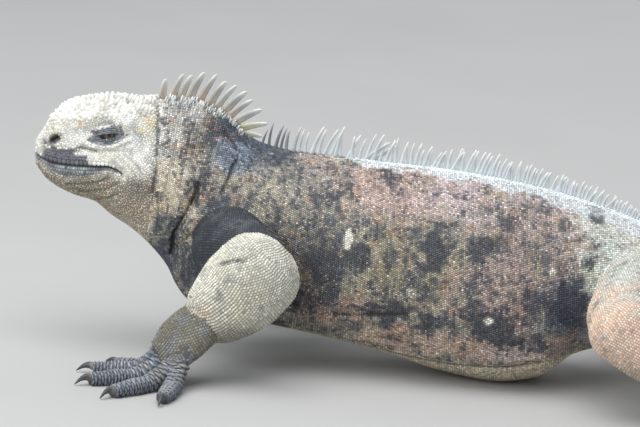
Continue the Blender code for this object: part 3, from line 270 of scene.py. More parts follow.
FEATURES = (
    Feature("brow", ((-0.2985, 0.166), (-0.29, 0.169), (-0.279, 0.17), (-0.268, 0.1665)), 0.0048, 0.0026),
    Feature("eye_hollow", ((-0.29, 0.156), (-0.273, 0.1575)), 0.0075, -0.0022),
    Feature("under_eye", UNDER_EYE_FOLD, 0.0019, 0.0013),
    Feature("under_eye_groove", tuple((x, z - 0.0032) for x, z in UNDER_EYE_FOLD), 0.0014, -0.0008),
    Feature("brow_line", ((-0.3204, 0.1587), (-0.3139, 0.1583), (-0.3028, 0.1639)), 0.0012, -0.0007),
    Feature("nostril_mound", ((-0.3205, 0.149), (-0.3175, 0.15)), 0.0058, 0.0024),
    Feature("nostril_pit", NOSTRIL, 0.0023, -0.0078),
    Feature("mouth", MOUTH_LINE, 0.0011, -0.0024),
    Feature("upper_lip", tuple((x, z + 0.0042) for x, z in MOUTH_LINE[1:-1]), 0.003, 0.0012),
    Feature("lower_lip", tuple((x, z - 0.0046) for x, z in MOUTH_LINE[1:-2]), 0.0028, 0.001),
    *(Feature(f"cheek_wrinkle_{i}", line, 0.0008, -0.0005) for i, line in enumerate(CHEEK_WRINKLES)),
    *(Feature(f"chin_fold_{i}", line, 0.0011, -0.0008) for i, line in enumerate(CHIN_FOLDS)),
    Feature("jaw_muscle", ((-0.266, 0.12), (-0.26, 0.128)), 0.013, 0.0034),
    Feature("ear", ((-0.2565, 0.149), (-0.2565, 0.154)), 0.0042, -0.0016),
    Feature("nape_fold", NAPE_FOLD, 0.0015, -0.0011),
    Feature("throat_fold", THROAT_FOLD, 0.0017, -0.0044),
    Feature("throat_pouch", ((-0.226, 0.13), (-0.23, 0.108), (-0.238, 0.09)), 0.009, 0.0026),
    Feature("neck_fold", ((-0.1893, 0.1465), (-0.1931, 0.1357), (-0.1978, 0.1227)), 0.0015, -0.0027),
    Feature("arm_fold", ARM_FOLD, 0.0026, -0.004),
    Feature("shoulder_mass", ((-0.17, 0.126), (-0.15, 0.118)), 0.018, 0.003),
    Feature("flank_fold", ((-0.107, 0.0473), (-0.085, 0.05), (-0.06, 0.054)), 0.002, -0.0018),
    Feature("side_fold", ((-0.15, 0.09), (-0.142, 0.07), (-0.138, 0.05)), 0.003, -0.0018),
    Feature("belly_fold", BELLY_FOLD, 0.0022, -0.0022),
    Feature("belly_skirt", tuple((x, z + 0.005) for x, z in BELLY_FOLD), 0.005, 0.0018),
    Feature("crest_fold", ((-0.199, 0.165), (-0.187, 0.152), (-0.176, 0.145)), 0.0016, -0.0014),
    Feature("nape_crease", ((-0.233, 0.156), (-0.235, 0.135), (-0.24, 0.115)), 0.0014, -0.001),
    Feature("groin_fold", ((0.056, 0.108), (0.052, 0.085), (0.056, 0.062)), 0.0046, -0.0011),
    Feature("hip_mass", ((0.095, 0.1), (0.12, 0.09)), 0.02, 0.003),
)


def ramp(value: Array | float, start: float, end: float) -> Array:
    """Rises smoothly from 0 at the start to 1 at the end, which may lie below the start."""
    share = np.clip((value - start) / (end - start), 0.0, 1.0)
    return share * share * (3 - 2 * share)


def height_on(line: Line, x: Array | float) -> Array:
    """The height of a line in the side view at these x."""
    return np.interp(x, *zip(*line))


def blend(first: Array, second: Array | Colour, share: Array) -> Array:
    """Mixes colours, one row each, with others or with a single one, by a share for each row."""
    share = np.clip(share, 0.0, 1.0)[:, None]
    return first * (1 - share) + np.asarray(second) * share


def layered(base: Array, *layers: tuple[Array | Colour, Array]) -> Array:
    """Lays colours over others in this order.

    Args:
        base: The lowest colours, one row each.
        layers: Each a colour or colours, and how much of it there is.

    Returns:
        The mixed colours.
    """
    for colour, share in layers:
        base = blend(base, colour, share)
    return base


def plain(colour: Colour, count: int) -> Array:
    """The same colour, or other row of numbers, this many times."""
    return np.tile(np.array(colour), (count, 1))


def way_out(mark: "Blotch | Zone", x: Array, z: Array) -> Array:
    """How far points lie from the middle of an oval mark, as a share of the way to its rim."""
    return np.hypot((x - mark.x) / mark.half_length, (z - mark.z) / mark.half_height)


def cloud(points: Array, size: float, seed: int) -> Array:
    """Smooth noise in space.

    Args:
        points: Places, one row each.
        size: The distance between two lattice points of the noise.
        seed: Picks one of many noises.

    Returns:
        A number from 0 to 1 for each place.
    """
    scaled = np.asarray(points, float) / size
    cell = np.floor(scaled).astype(np.int64)
    part = scaled - cell
    part = part * part * (3 - 2 * part)
    total = np.zeros(len(cell))
    for corner in range(8):
        offset = np.array([(corner >> axis) & 1 for axis in range(3)])
        key = (cell + offset) @ np.array([73856093, 19349663, 83492791]) + seed * 2654435761
        key = (key ^ (key >> 13)) * 1274126177
        value = ((key ^ (key >> 16)) & 0xFFFF) / 0xFFFF
        total += np.prod(np.where(offset == 1, part, 1 - part), axis=-1) * value
    return total


def noise(points: Array, size: float, seed: int) -> Array:
    """The same as cloud, from -0.5 to 0.5."""
    return cloud(points, size, seed) - 0.5


def unit(vectors: Array) -> Array:
    """Vectors of length one, in the directions of those given."""
    return vectors / np.maximum(np.linalg.norm(vectors, axis=-1, keepdims=True), 1e-12)


def between(at: Array, knots: Array, rows: Array) -> Array:
    """Rows of numbers, read off between the knots at which they are given."""
    return np.stack([np.interp(at, knots, column) for column in np.transpose(rows)], axis=-1)


def laid_flat(share: Array, angles: Array) -> Array:
    """Where points lie on the OFBake map, from their share of the way along and their angle round."""
    return np.column_stack([share, angles / (2 * math.pi)]) * UNWRAP_SPAN + UNWRAP_MARGIN


def monotone_curve(knots: Array, values: Array) -> Callable[[Array], Array]:
    """Makes a smooth function through values that never overshoots them.

    Args:
        knots: Places in rising order.
        values: The value at each place.

    Returns:
        The function from place to value.
    """
    spans = np.diff(knots)
    slopes = np.diff(values) / spans
    tangents = np.zeros(len(knots))
    same_way = slopes[:-1] * slopes[1:] > 0
    before = 2 * spans[1:] + spans[:-1]
    after = spans[1:] + 2 * spans[:-1]
    safe = np.where(same_way, slopes[:-1], 1.0), np.where(same_way, slopes[1:], 1.0)
    tangents[1:-1] = np.where(same_way, (before + after) / (before / safe[0] + after / safe[1]), 0.0)
    tangents[0] = slopes[0]
    tangents[-1] = slopes[-1]

    def value_at(place: Array) -> Array:
        """The curve's value at each place."""
        place = np.asarray(place, float)
        i = np.clip(np.searchsorted(knots, place) - 1, 0, len(spans) - 1)
        t = (place - knots[i]) / spans[i]
        return (
            (2 * t**3 - 3 * t**2 + 1) * values[i]
            + (t**3 - 2 * t**2 + t) * spans[i] * tangents[i]
            + (3 * t**2 - 2 * t**3) * values[i + 1]
            + (t**3 - t**2) * spans[i] * tangents[i + 1]
        )

    return value_at


def distance_to_line(x: Array, z: Array, line: Line) -> Array:
    """How far points lie from a line of straight pieces, in the side view.

    Args:
        x: The points' x.
        z: The points' z.
        line: The corners of the line, each as x and z.

    Returns:
        The distance of each point.
    """
    nearest = np.full(np.shape(x), np.inf)
    for (x0, z0), (x1, z1) in zip(line[:-1], line[1:]):
        run, climb = x1 - x0, z1 - z0
        t = np.clip(((x - x0) * run + (z - z0) * climb) / (run**2 + climb**2), 0, 1)
        nearest = np.minimum(nearest, np.hypot(x - x0 - t * run, z - z0 - t * climb))
    return nearest


@dataclass
class BodyForm:
    """The body as one smooth surface: a place along it and an angle round it give a point.

    Angle 0 is under the body and pi on top of it. Angles under pi are on the left side.
    """

    stations: tuple[Station, ...]

    def __post_init__(self) -> None:
        """Reads the stations into smooth curves."""
        stations = self.stations
        top, low = (np.array([getattr(station, name) for station in stations]) for name in ("top", "low"))
        columns = {"top_x": top[:, 0], "top_z": top[:, 1], "low_x": low[:, 0], "low_z": low[:, 1]}
        for name in ("side", "half_width", "widest", "crown", "keel"):
            columns[name] = np.array([getattr(station, name) for station in stations])
        middle = np.column_stack([(top + low) / 2, columns["side"]])
        steps = np.linalg.norm(np.diff(middle, axis=0), axis=1)
        self.knots = np.concatenate([[0.0], np.cumsum(steps)])
        self.names = [station.name for station in stations]
        self.curves = {name: monotone_curve(self.knots, column) for name, column in columns.items()}

    def place(self, name: str) -> float:
        """The distance along the body of a named station."""
        return float(self.knots[self.names.index(name)])

    def place_of_top(self, x: float) -> float:
        """The distance along the body where its top has this x."""
        places = np.linspace(0.0, self.knots[-1], 4000)
        return float(np.interp(x, self.curves["top_x"](places), places))

    def section(self, places: Array) -> dict[str, Array]:
        """The values of the sections at these places, each as a column."""
        return {name: curve(places)[:, None] for name, curve in self.curves.items()}

    def beside(self, places: Array, step: float) -> tuple[Array, Array]:
        """The places a step before and after these, kept on the body."""
        return np.maximum(places - step, 0.0), np.minimum(places + step, self.knots[-1])

    def heading(self, places: Array) -> Array:
        """The angle at which the body runs, seen from above."""
        before, after = (self.section(there) for there in self.beside(places, FINE_STEP))
        along = (after["top_x"] + after["low_x"] - before["top_x"] - before["low_x"]) / 2
        return np.arctan2(after["side"] - before["side"], along)

    def rings(self, places: Array, angles: Array) -> Array:
        """Points round the plain sections, one row of points for each place."""
        places = np.asarray(places, float)
        section = self.section(places)
        angles = np.broadcast_to(angles, (len(places), np.shape(angles)[-1]))
        sine, rise = np.sin(angles), -np.cos(angles)
        power = 2 / np.where(rise < 0, section["keel"], section["crown"])
        out = -np.sign(sine) * np.abs(sine) ** power * section["half_width"]
        share = np.where(
            rise < 0,
            section["widest"] * (1 - np.abs(rise) ** power),
            section["widest"] + (1 - section["widest"]) * np.abs(rise) ** power,
        )
        heading = self.heading(places)
        x = section["low_x"] + share * (section["top_x"] - section["low_x"]) - out * np.sin(heading)
        y = section["side"] + out * np.cos(heading)
        z = section["low_z"] + share * (section["top_z"] - section["low_z"])
        return np.stack([x, y, np.maximum(z, FLOOR)], axis=-1)

    def skin(self, places: Array, angles: Array) -> Array:
        """Points round the skin, with its swellings and grooves, a coat's depth inside the solids.

        Args:
            places: Distances along the body.
            angles: One row of angles for each place, or one for all.

        Returns:
            One row of points for each place.
        """
        places, angles = np.asarray(places, float), np.asarray(angles)
        rings = self.rings(places, angles)
        before, after = (self.rings(there, angles) for there in self.beside(places, FINE_STEP))
        around = self.rings(places, angles + 0.01) - self.rings(places, angles - 0.01)
        normals = unit(np.cross(after - before, around))
        section = self.section(places)
        heading = self.heading(places)
        level = np.zeros_like(heading)
        across = np.stack([-np.sin(heading), np.cos(heading), level], axis=-1)
        rise = [section["top_x"] - section["low_x"], level, section["top_z"] - section["low_z"]]
        ahead = unit(np.cross(across, np.stack(rise, axis=-1)))
        flat = normals - ahead * (normals * ahead).sum(axis=-1, keepdims=True)
        sideways = np.clip(np.abs(flat[..., 1]) * 1.8, 0, 1)
        lift = np.zeros(rings.shape[:2])
        for feature in FEATURES:
            distance = distance_to_line(rings[..., 0], rings[..., 2], feature.line)
            lift += feature.height * np.exp(-((distance / feature.reach) ** 2))
        moved = rings + flat * (lift * sideways - COAT_DEPTH)[..., None]
        moved[..., 2] = np.maximum(moved[..., 2], FLOOR)
        return moved

    def runs(self, places: Array, angles: Array) -> tuple[Array, Array]:
        """Points of the skin at each place and angle, and how far round it they lie from the first."""
        rings = self.skin(places, angles)
        steps = np.linalg.norm(np.diff(rings, axis=1), axis=2)
        return rings, np.cumsum(np.pad(steps, ((0, 0), (1, 0))), axis=1)

    def spots(self, places: Array, angles: Array) -> tuple[Array, Array, Array]:
        """Points of the skin with their outward normals and the directions along the body.

        Args:
            places: The distance along the body of each point.
            angles: The angle round the body of each point.

        Returns:
            The points, the normals and the directions towards the tail.
        """
        turn = np.asarray(angles)[:, None]
        front, back = (self.skin(there, turn)[:, 0] for there in self.beside(places, 4 * FINE_STEP))
        over, under = (self.skin(places, turn + step)[:, 0] for step in (0.015, -0.015))
        along = unit(back - front)
        normals = unit(np.cross(along, over - under))
        flat = np.linalg.norm(np.cross(back - front, over - under), axis=1) < 1e-12
        normals[flat] = (0.0, 0.0, -1.0)
        return self.skin(places, turn)[:, 0], normals, along

    def columns(self, places: Array) -> dict[str, Array]:
        """The values of the sections at these places, each as a plain list of numbers."""
        return {name: curve(places) for name, curve in self.curves.items()}

    def height_share(self, places: Array, z: Array) -> Array:
        """How high points lie in their own section, from 0 below to 1 on top."""
        section = self.columns(places)
        return (z - section["low_z"]) / (section["top_z"] - section["low_z"])

    def angle_of_height(self, places: Array, z: Array) -> Array:
        """The angle on the left side at which the section has this height."""
        section = self.columns(places)
        share = np.clip(self.height_share(places, z), 0.02, 0.98)
        low = np.clip(1 - share / section["widest"], 0, 1) ** (section["keel"] / 2)
        high = np.clip((share - section["widest"]) / (1 - section["widest"]), 0, 1)
        high = high ** (section["crown"] / 2)
        return np.arccos(np.clip(np.where(share < section["widest"], low, -high), -1, 1))


class Limb(NamedTuple):
    """The shape of one leg of the left side, as in the solids."""

    upper: tuple[tuple[float, ...], ...]
    lower: tuple[tuple[float, ...], ...]
    wrist: tuple[float, float, float]
    palm: tuple[float, float, float]
    palm_half_width: float
    roll: float
    digits: tuple[tuple[float, float, float, float], ...]
    claw_length: float

    def moved(self, shift: float, turn: float) -> "Limb":
        """This limb drawn further back.

        Args:
            shift: How far back its lower parts lie.
            turn: By how many degrees its hand or foot is turned outwards.

        Returns:
            The moved limb.
        """
        steps = np.linspace(shift * ROOT_SHIFT_SHARE, shift, len(self.upper))
        upper = tuple((x + step, *others) for step, (x, *others) in zip(steps, self.upper))
        lower = tuple((x + shift, *others) for x, *others in self.lower)
        wrist, palm = Vector(self.wrist), Vector(self.palm)
        rotation = Matrix.Rotation(math.radians(turn), 3, "Z")
        turned = wrist + rotation @ (palm - wrist) + Vector((shift, 0, 0))
        digits = tuple((angle + turn, *others) for angle, *others in self.digits)
        wrist_there = (self.wrist[0] + shift, *self.wrist[1:])
        return self._replace(upper=upper, lower=lower, wrist=wrist_there, palm=tuple(turned), digits=digits)


ROOT_SHIFT_SHARE = 0.3
ARM = Limb(
    upper=(
        (-0.193, -0.018, 0.086, 0.03, 0.026),
        (-0.186, -0.048, 0.086, 0.03, 0.026),
        (-0.168, -0.086, 0.083, 0.025, 0.024),
    ),
    lower=(
        (-0.165, -0.092, 0.0815, 0.0312, 0.0255),
        (-0.1757, -0.095, 0.0695, 0.0318, 0.0245),
        (-0.189, -0.0985, 0.056, 0.0276, 0.0205),
        (-0.204, -0.102, 0.043, 0.0196, 0.014),
    ),
    wrist=(-0.2, -0.101, 0.046),
    palm=(-0.2255, -0.11, 0.0225),
    palm_half_width=0.0245,
    roll=24.0,
    digits=(
        (-27.0, 0.034, -0.0172, 0.0052),
        (1.0, 0.049, -0.011, 0.0056),
        (27.0, 0.06, 0.0, 0.0059),
        (50.0, 0.064, 0.0108, 0.0059),
        (80.0, 0.05, 0.0178, 0.0057),
    ),
    claw_length=0.0125,
)
LEG = Limb(
    upper=(
        (0.116, -0.012, 0.078, 0.033, 0.03),
        (0.105, -0.05, 0.076, 0.033, 0.029),
        (0.0945, -0.086, 0.0705, 0.0295, 0.027),
    ),
    lower=(
        (0.0945, -0.101, 0.0665, 0.0272, 0.0254),
        (0.1125, -0.106, 0.054, 0.0238, 0.0218),
        (0.141, -0.115, 0.0365, 0.0168, 0.0162),
        (0.164, -0.121, 0.023, 0.0125, 0.0125),
    ),
    wrist=(0.1615, -0.12, 0.024),
    palm=(0.152, -0.149, 0.011),
    palm_half_width=0.018,
    roll=6.0,
    digits=(
        (30.0, 0.03, -0.013, 0.0042),
        (44.0, 0.044, -0.008, 0.0046),
        (58.0, 0.06, 0.0, 0.0048),
        (72.0, 0.076, 0.008, 0.0048),
        (102.0, 0.05, 0.014, 0.0045),
    ),
    claw_length=0.011,
)
RIGHT_ARM_SHIFT, RIGHT_ARM_TURN = 0.057, 34.0
RIGHT_LEG_SHIFT, RIGHT_LEG_TURN = 0.012, -8.0
PALM_RINGS = ((0.0, 0.0135, 0.8), (0.45, 0.013, 0.9), (0.8, 0.0115, 0.9))
PALM_END = (0.006, 0.006, 0.66)
PALM_LOWEST = FLOOR + 0.0009
KNUCKLE_BACK = 0.004
DIGIT_DROP = 0.55
DIGIT_LIE = 0.8
DIGIT_FLAT = 0.92
DIGIT_GIRTHS = ((0.0, 1.0), (0.22, 1.0), (0.45, 0.97), (0.7, 0.9), (0.93, 0.72), (1.0, 0.6))


@dataclass
class Tube:
    """A limb, digit, claw or spine: oval sections along a line.

    Attributes:
        centre: The middle of each section.
        tall: Half of each section's first axis, as a vector.
        thick: Half of its second axis.
        lowest: No point lies lower than this.
    """

    centre: Array
    tall: Array
    thick: Array
    lowest: float = FLOOR

    def __post_init__(self) -> None:
        """Measures how far along the surface each section lies."""
        runs = np.linalg.norm(np.diff(self.centre, axis=0), axis=1)
        climbs = np.diff(np.linalg.norm(self.tall, axis=1))
        self.lengths = np.concatenate([[0.0], np.cumsum(np.hypot(runs, climbs))])

    def at(self, along: Array, turns: Array) -> Array:
        """Points of the surface at these distances along the tube and angles round it."""
        rows = (self.centre, self.tall, self.thick)
        centre, tall, thick = (between(along, self.lengths, values) for values in rows)
        points = centre + tall * np.cos(turns)[..., None] + thick * np.sin(turns)[..., None]
        points[..., 2] = np.maximum(points[..., 2], self.lowest)
        return points

    def girth(self, along: float) -> float:
        """About how long the way round the tube is."""
        tall = np.interp(along, self.lengths, np.linalg.norm(self.tall, axis=1))
        thick = np.interp(along, self.lengths, np.linalg.norm(self.thick, axis=1))
        return float(math.pi * (3 * (tall + thick) - math.sqrt((3 * tall + thick) * (tall + 3 * thick))))

    def mirrored(self) -> "Tube":
        """The same tube on the other side of the animal."""
        flip = np.array([1.0, -1.0, 1.0])
        return Tube(self.centre * flip, self.tall * flip, -self.thick * flip, self.lowest)

    def mesh(self, sides: int) -> bmesh.types.BMesh:
        """The closed surface of the tube, with its normals outwards."""
        turns = np.arange(sides) * 2 * math.pi / sides
        rings = [self.at(np.full(sides, along), turns) for along in self.lengths]
        return lofted(rings)


def lofted(rings: list[Array]) -> bmesh.types.BMesh:
    """A closed mesh through rings of equally many points, with a fan over each end.

    Args:
        rings: The rings from one end to the other.

    Returns:
        The mesh, its normals outwards.
    """
    bm = bmesh.new()
    loops = [[bm.verts.new(point) for point in ring] for ring in rings]
    for near, far in zip(loops[:-1], loops[1:]):
        for i in range(len(near)):
            j = (i + 1) % len(near)
            bm.faces.new((near[i], near[j], far[j], far[i]))
    for ring in (loops[0], loops[-1]):
        hub = bm.verts.new(sum((vert.co for vert in ring), Vector()) / len(ring))
        for first, second in zip(ring, ring[1:] + ring[:1]):
            bm.faces.new((first, second, hub))
    bmesh.ops.recalc_face_normals(bm, faces=bm.faces)
    return bm


LIMB_END_TURNS = np.radians([14.0, 30.0, 46.0, 62.0, 77.0])
LIMB_STEP = 0.003
SIDEWAYS_LIMIT = 0.75
CUFF = (0.97, 0.9, 0.76)  # how the last rows of a forearm or shank draw in over the wrist or ankle


def limb_tube(stations: tuple[tuple[float, ...], ...], round_end: bool = True) -> Tube:
    """A limb's length through its stations, with rounded ends.

    Args:
        stations: Each as x, y, z, half height and half thickness.
        round_end: Whether the far end is rounded too.

    Returns:
        The tube, inside the solid by the depth of the coat.
    """
    table = np.array(stations, float)
    lengths = np.linalg.norm(np.diff(table[:, :3], axis=0), axis=1)
    knots = np.concatenate([[0.0], np.cumsum(lengths)])
    curves = [monotone_curve(knots, table[:, column]) for column in range(5)]
    body = np.linspace(0, knots[-1], 2 + round(knots[-1] / LIMB_STEP))
    values = np.array([[curve(place) for curve in curves] for place in body])
    values[:, 3:5] -= COAT_DEPTH
    heading = unit(np.gradient(values[:, :3], axis=0))
    rows = []

    def add_row(centre: Array, way: Array, tall: float, thick: float) -> None:
        """Adds one section across this way."""
        sideways = np.array([0.0, 1.0, 0.0] if abs(way[1]) < SIDEWAYS_LIMIT else [1.0, 0.0, 0.0])
        tall_way = unit(np.cross(way, sideways))
        rows.append((centre, tall_way * tall, np.cross(tall_way, way) * thick))

    def add_end(value: Array, way: Array, outward: float, turns: Array) -> None:
        """Rounds one end off."""
        for turn in turns:
            out = way * outward * min(value[3:5]) * math.cos(turn)
            add_row(value[:3] + out, way, value[3] * math.sin(turn), value[4] * math.sin(turn))

    add_end(values[0], heading[0], -1.0, LIMB_END_TURNS)
    for value, way in zip(values, heading):
        add_row(value[:3], way, value[3], value[4])
    if round_end:
        add_end(values[-1], heading[-1], 1.0, LIMB_END_TURNS[::-1])
    else:
        for row, share in zip(rows[-len(CUFF):], CUFF):
            row[1][:] *= share
            row[2][:] *= share
    return Tube(*(np.array([row[i] for row in rows]) for i in range(3)))


class Region(Enum):
    """What a length of a limb is, for its scales and markings."""

    UPPER = "upper"
    LOWER = "lower"
    PALM = "palm"
    DIGIT = "digit"


# For each length of a limb, how far its joins are smoothed, the pitch and the spacing of its scales,
# and how many sides its tube has.
PART_SIZES = {
    Region.UPPER: (0.011, 0.002, 0.002, 36),
    Region.LOWER: (0.009, 0.002, 0.002, 36),
    Region.PALM: (0.006, 0.0021, 0.0021, 28),
    Region.DIGIT: (0.0034, 0.0024, 0.0021, 16),
}


@dataclass
class LimbPart:
    """One tube of a limb, with what it is, how far its joins are smoothed and the pitch of its scales."""

    region: Region
    tube: Tube
    join: float
    pitch: float
    spacing: float
    sides: int


@dataclass
class ClawPlace:
    """Where a claw grows."""

    base: Vector
    forward: Vector
    size: float
    length: float


@dataclass
class LimbForm:
    """One arm or leg: its tubes and the places of its claws."""

    limb: Limb
    side: Side
    names: tuple[str, str, str]
    parts: list[LimbPart] = field(default_factory=list)
    claws: list[ClawPlace] = field(default_factory=list)

    @property
    def nodes(self) -> list[str]:
        """The frame's nodes that this limb's skin replaces."""
        return [f"{name}_{self.side.word}" for name in self.names]

    @property
    def is_arm(self) -> bool:
        """Whether this is an arm, rather than a leg."""
        return self.names[0] == "upper_arm"

    def build(self) -> None:
        """Lays out the tubes and the claws."""
        limb = self.limb
        self.add(Region.UPPER, limb_tube(limb.upper))
        self.add(Region.LOWER, limb_tube(limb.lower, round_end=False))
        wrist, palm = Vector(limb.wrist), Vector(limb.palm)
        ahead = math.radians(limb.digits[2][0])
        hang = -math.tan(math.radians(limb.roll))
        across = Vector((math.sin(ahead), -math.cos(ahead), hang)).normalized()
        run = (palm - wrist).normalized()
        up = run.cross(across).normalized()
        up = -up if up.z < 0 else up
        rows = [(*wrist.lerp(palm, share), tall, wide) for share, tall, wide in PALM_RINGS]
        rows.append((*(palm + run * PALM_END[0]), *PALM_END[1:]))
        values = between(np.linspace(0, 1, 13), np.linspace(0, 1, len(rows)), rows)
        tall, wide = values[:, 3] - COAT_DEPTH, values[:, 4] * limb.palm_half_width - COAT_DEPTH
        self.add(Region.PALM, Tube(values[:, :3], np.outer(wide, across), np.outer(tall, up), PALM_LOWEST))
        knuckles = palm - run * KNUCKLE_BACK
        for degrees, length, offset, half_width in limb.digits:
            self.add_digit(knuckles + across * offset, math.radians(degrees), length, half_width)

    def add(self, region: Region, tube: Tube) -> None:
        """Keeps one tube, on this limb's own side."""
        tube = tube.mirrored() if self.side is Side.RIGHT else tube
        self.parts.append(LimbPart(region, tube, *PART_SIZES[region]))

    def add_digit(self, root: Vector, angle: float, length: float, half_width: float) -> None:
        """Lays out one digit, which comes down from its knuckle and lies on the floor, and its claw."""
        forward = Vector((-math.cos(angle), -math.sin(angle), 0.0))
        sideways = Vector((-forward.y, forward.x, 0.0))
        drop = root.z - half_width * DIGIT_LIE
        shares = np.linspace(0, 1, 26)
        # Each joint of the digit swells a little.
        swell = 1 + 0.055 * np.cos(shares * 3.0 * 2 * math.pi) * (shares < 0.95)
        size = height_on(DIGIT_GIRTHS, shares) * swell
        left = 1 - np.minimum(1.0, shares / DIGIT_DROP)
        centre = np.array(root) + np.outer(shares * length, forward)
        centre[:, 2] -= drop * (1 - left**2)
        wide = half_width * size * 1.04
        tube = Tube(centre, np.outer(wide, sideways), np.outer(wide * DIGIT_FLAT, (0, 0, 1)))
        self.add(Region.DIGIT, tube)
        flip = Vector((1, self.side.value * -1.0, 1))
        base = Vector(centre[-1]) * flip
        self.claws.append(ClawPlace(base, forward * flip, half_width * 0.54, self.limb.claw_length))


class Blotch(NamedTuple):
    """A dark or pale mark on the flank, as an oval in the side view."""

    x: float
    z: float
    half_length: float
    half_height: float
    depth: float = 1.0


BLOTCHES = (
    Blotch(-0.1099, 0.1394, 0.007, 0.005, 0.6),
    Blotch(-0.0779, 0.144, 0.006, 0.0045, 0.6),
    Blotch(-0.06, 0.144, 0.005, 0.0036, 0.4),
    Blotch(-0.0275, 0.136, 0.0056, 0.0028, 0.6),
    Blotch(-0.0098, 0.1277, 0.006, 0.0036, 0.45),
    Blotch(0.0066, 0.121, 0.007, 0.006, 0.6),
    Blotch(-0.012, 0.1047, 0.0095, 0.008, 0.9),
    Blotch(0.004, 0.11, 0.006, 0.007, 0.6),
    Blotch(0.0334, 0.133, 0.0055, 0.004, 0.4),
    Blotch(0.0712, 0.13, 0.006, 0.0045, 0.65),
    Blotch(0.0485, 0.1218, 0.0055, 0.005, 0.5),
    Blotch(-0.096, 0.0931, 0.0085, 0.008, 0.9),
    Blotch(-0.043, 0.1, 0.0085, 0.015, 1.0),
    Blotch(-0.0701, 0.055, 0.02, 0.007, 0.9),
    Blotch(-0.043, 0.0508, 0.009, 0.006, 0.9),
    Blotch(0.006, 0.05, 0.018, 0.012, 1.0),
    Blotch(-0.012, 0.061, 0.01, 0.008, 0.7),
    Blotch(0.0335, 0.04, 0.0095, 0.0085, 0.9),
    Blotch(0.0282, 0.0719, 0.01, 0.008, 0.7),
    Blotch(0.056, 0.068, 0.013, 0.017, 0.9),
    Blotch(0.0663, 0.099, 0.006, 0.005, 0.8),
    Blotch(-0.1197, 0.0853, 0.012, 0.014, 0.6),
    Blotch(-0.125, 0.128, 0.01, 0.006, 0.5),
    Blotch(-0.085, 0.108, 0.007, 0.006, 0.5),
    Blotch(-0.133, 0.056, 0.012, 0.009, 0.7),
)
PALE_SPOTS = (
    Blotch(-0.1048, 0.1032, 0.003, 0.0055),
    Blotch(-0.0007, 0.0557, 0.0034, 0.0034),
    Blotch(0.0417, 0.0927, 0.0022, 0.002),
    Blotch(-0.0576, 0.0705, 0.004, 0.0028, 0.5),
    Blotch(-0.248, 0.106, 0.003, 0.0024, 0.5),
    Blotch(-0.218, 0.108, 0.0028, 0.004, 0.5),
)


class Zone(NamedTuple):
    """A stretch of neck or trunk with its own light colour and its own share of dark mottling."""

    name: str
    x: float
    z: float
    half_length: float
    half_height: float
    dark: float
    light: Colour


ZONES = (
    Zone("tan_throat", -0.269, 0.097, 0.018, 0.018, 0.22, (0.36, 0.28, 0.2)),
    Zone("behind_head", -0.239, 0.15, 0.008, 0.028, 0.36, (0.63, 0.61, 0.56)),
    Zone("neck_cream", -0.233, 0.131, 0.01, 0.014, 0.13, (0.7, 0.63, 0.5)),
    Zone("nape_pale", -0.232, 0.175, 0.016, 0.007, 0.3, (0.52, 0.51, 0.48)),
    Zone("throat_cream", -0.249, 0.11, 0.015, 0.013, 0.12, (0.6, 0.52, 0.38)),
    Zone("throat_navy", -0.234, 0.093, 0.009, 0.011, 0.92, (0.26, 0.26, 0.24)),
    Zone("fold_cream", -0.219, 0.1, 0.006, 0.015, 0.2, (0.56, 0.5, 0.39)),
    Zone("neck_low", -0.228, 0.066, 0.022, 0.016, 0.86, (0.2, 0.21, 0.21)),
    Zone("above_arm", -0.193, 0.116, 0.017, 0.008, 0.84, (0.26, 0.26, 0.24)),
    Zone("crest_dark", -0.188, 0.165, 0.022, 0.014, 0.97, (0.08, 0.095, 0.125)),
    Zone("blue_band", -0.186, 0.151, 0.017, 0.014, 0.62, (0.26, 0.31, 0.38)),
    Zone("blue_shoulder", -0.162, 0.153, 0.018, 0.009, 0.9, (0.14, 0.17, 0.22)),
    Zone("shoulder_beige", -0.164, 0.126, 0.022, 0.018, 0.46, (0.42, 0.38, 0.3)),
    Zone("upper_front", -0.127, 0.139, 0.024, 0.022, 0.52, (0.38, 0.34, 0.3)),
    Zone("upper_pink", -0.067, 0.138, 0.042, 0.022, 0.17, (0.5, 0.385, 0.34)),
    Zone("lilac", -0.021, 0.14, 0.036, 0.017, 0.12, (0.57, 0.47, 0.47)),
    Zone("upper_rear", 0.032, 0.129, 0.042, 0.026, 0.24, (0.5, 0.42, 0.39)),
    Zone("behind_arm", -0.128, 0.084, 0.026, 0.03, 0.66, (0.28, 0.25, 0.2)),
    Zone("mid_olive", -0.06, 0.089, 0.04, 0.028, 0.5, (0.35, 0.31, 0.225)),
    Zone("mid_rear", 0.021, 0.084, 0.046, 0.036, 0.5, (0.4, 0.315, 0.275)),
    Zone("low_front", -0.109, 0.051, 0.026, 0.012, 0.36, (0.42, 0.32, 0.27)),
    Zone("low_strip", -0.04, 0.034, 0.06, 0.011, 0.21, (0.53, 0.41, 0.335)),
    Zone("rear_blue", 0.056, 0.065, 0.02, 0.022, 0.7, (0.22, 0.25, 0.3)),
    Zone("low_rear", 0.035, 0.033, 0.03, 0.012, 0.26, (0.46, 0.385, 0.355)),
    Zone("rump", 0.094, 0.112, 0.03, 0.03, 0.06, (0.76, 0.75, 0.68)),
    Zone("groin_pale", 0.078, 0.092, 0.014, 0.032, 0.1, (0.6, 0.65, 0.59)),
)


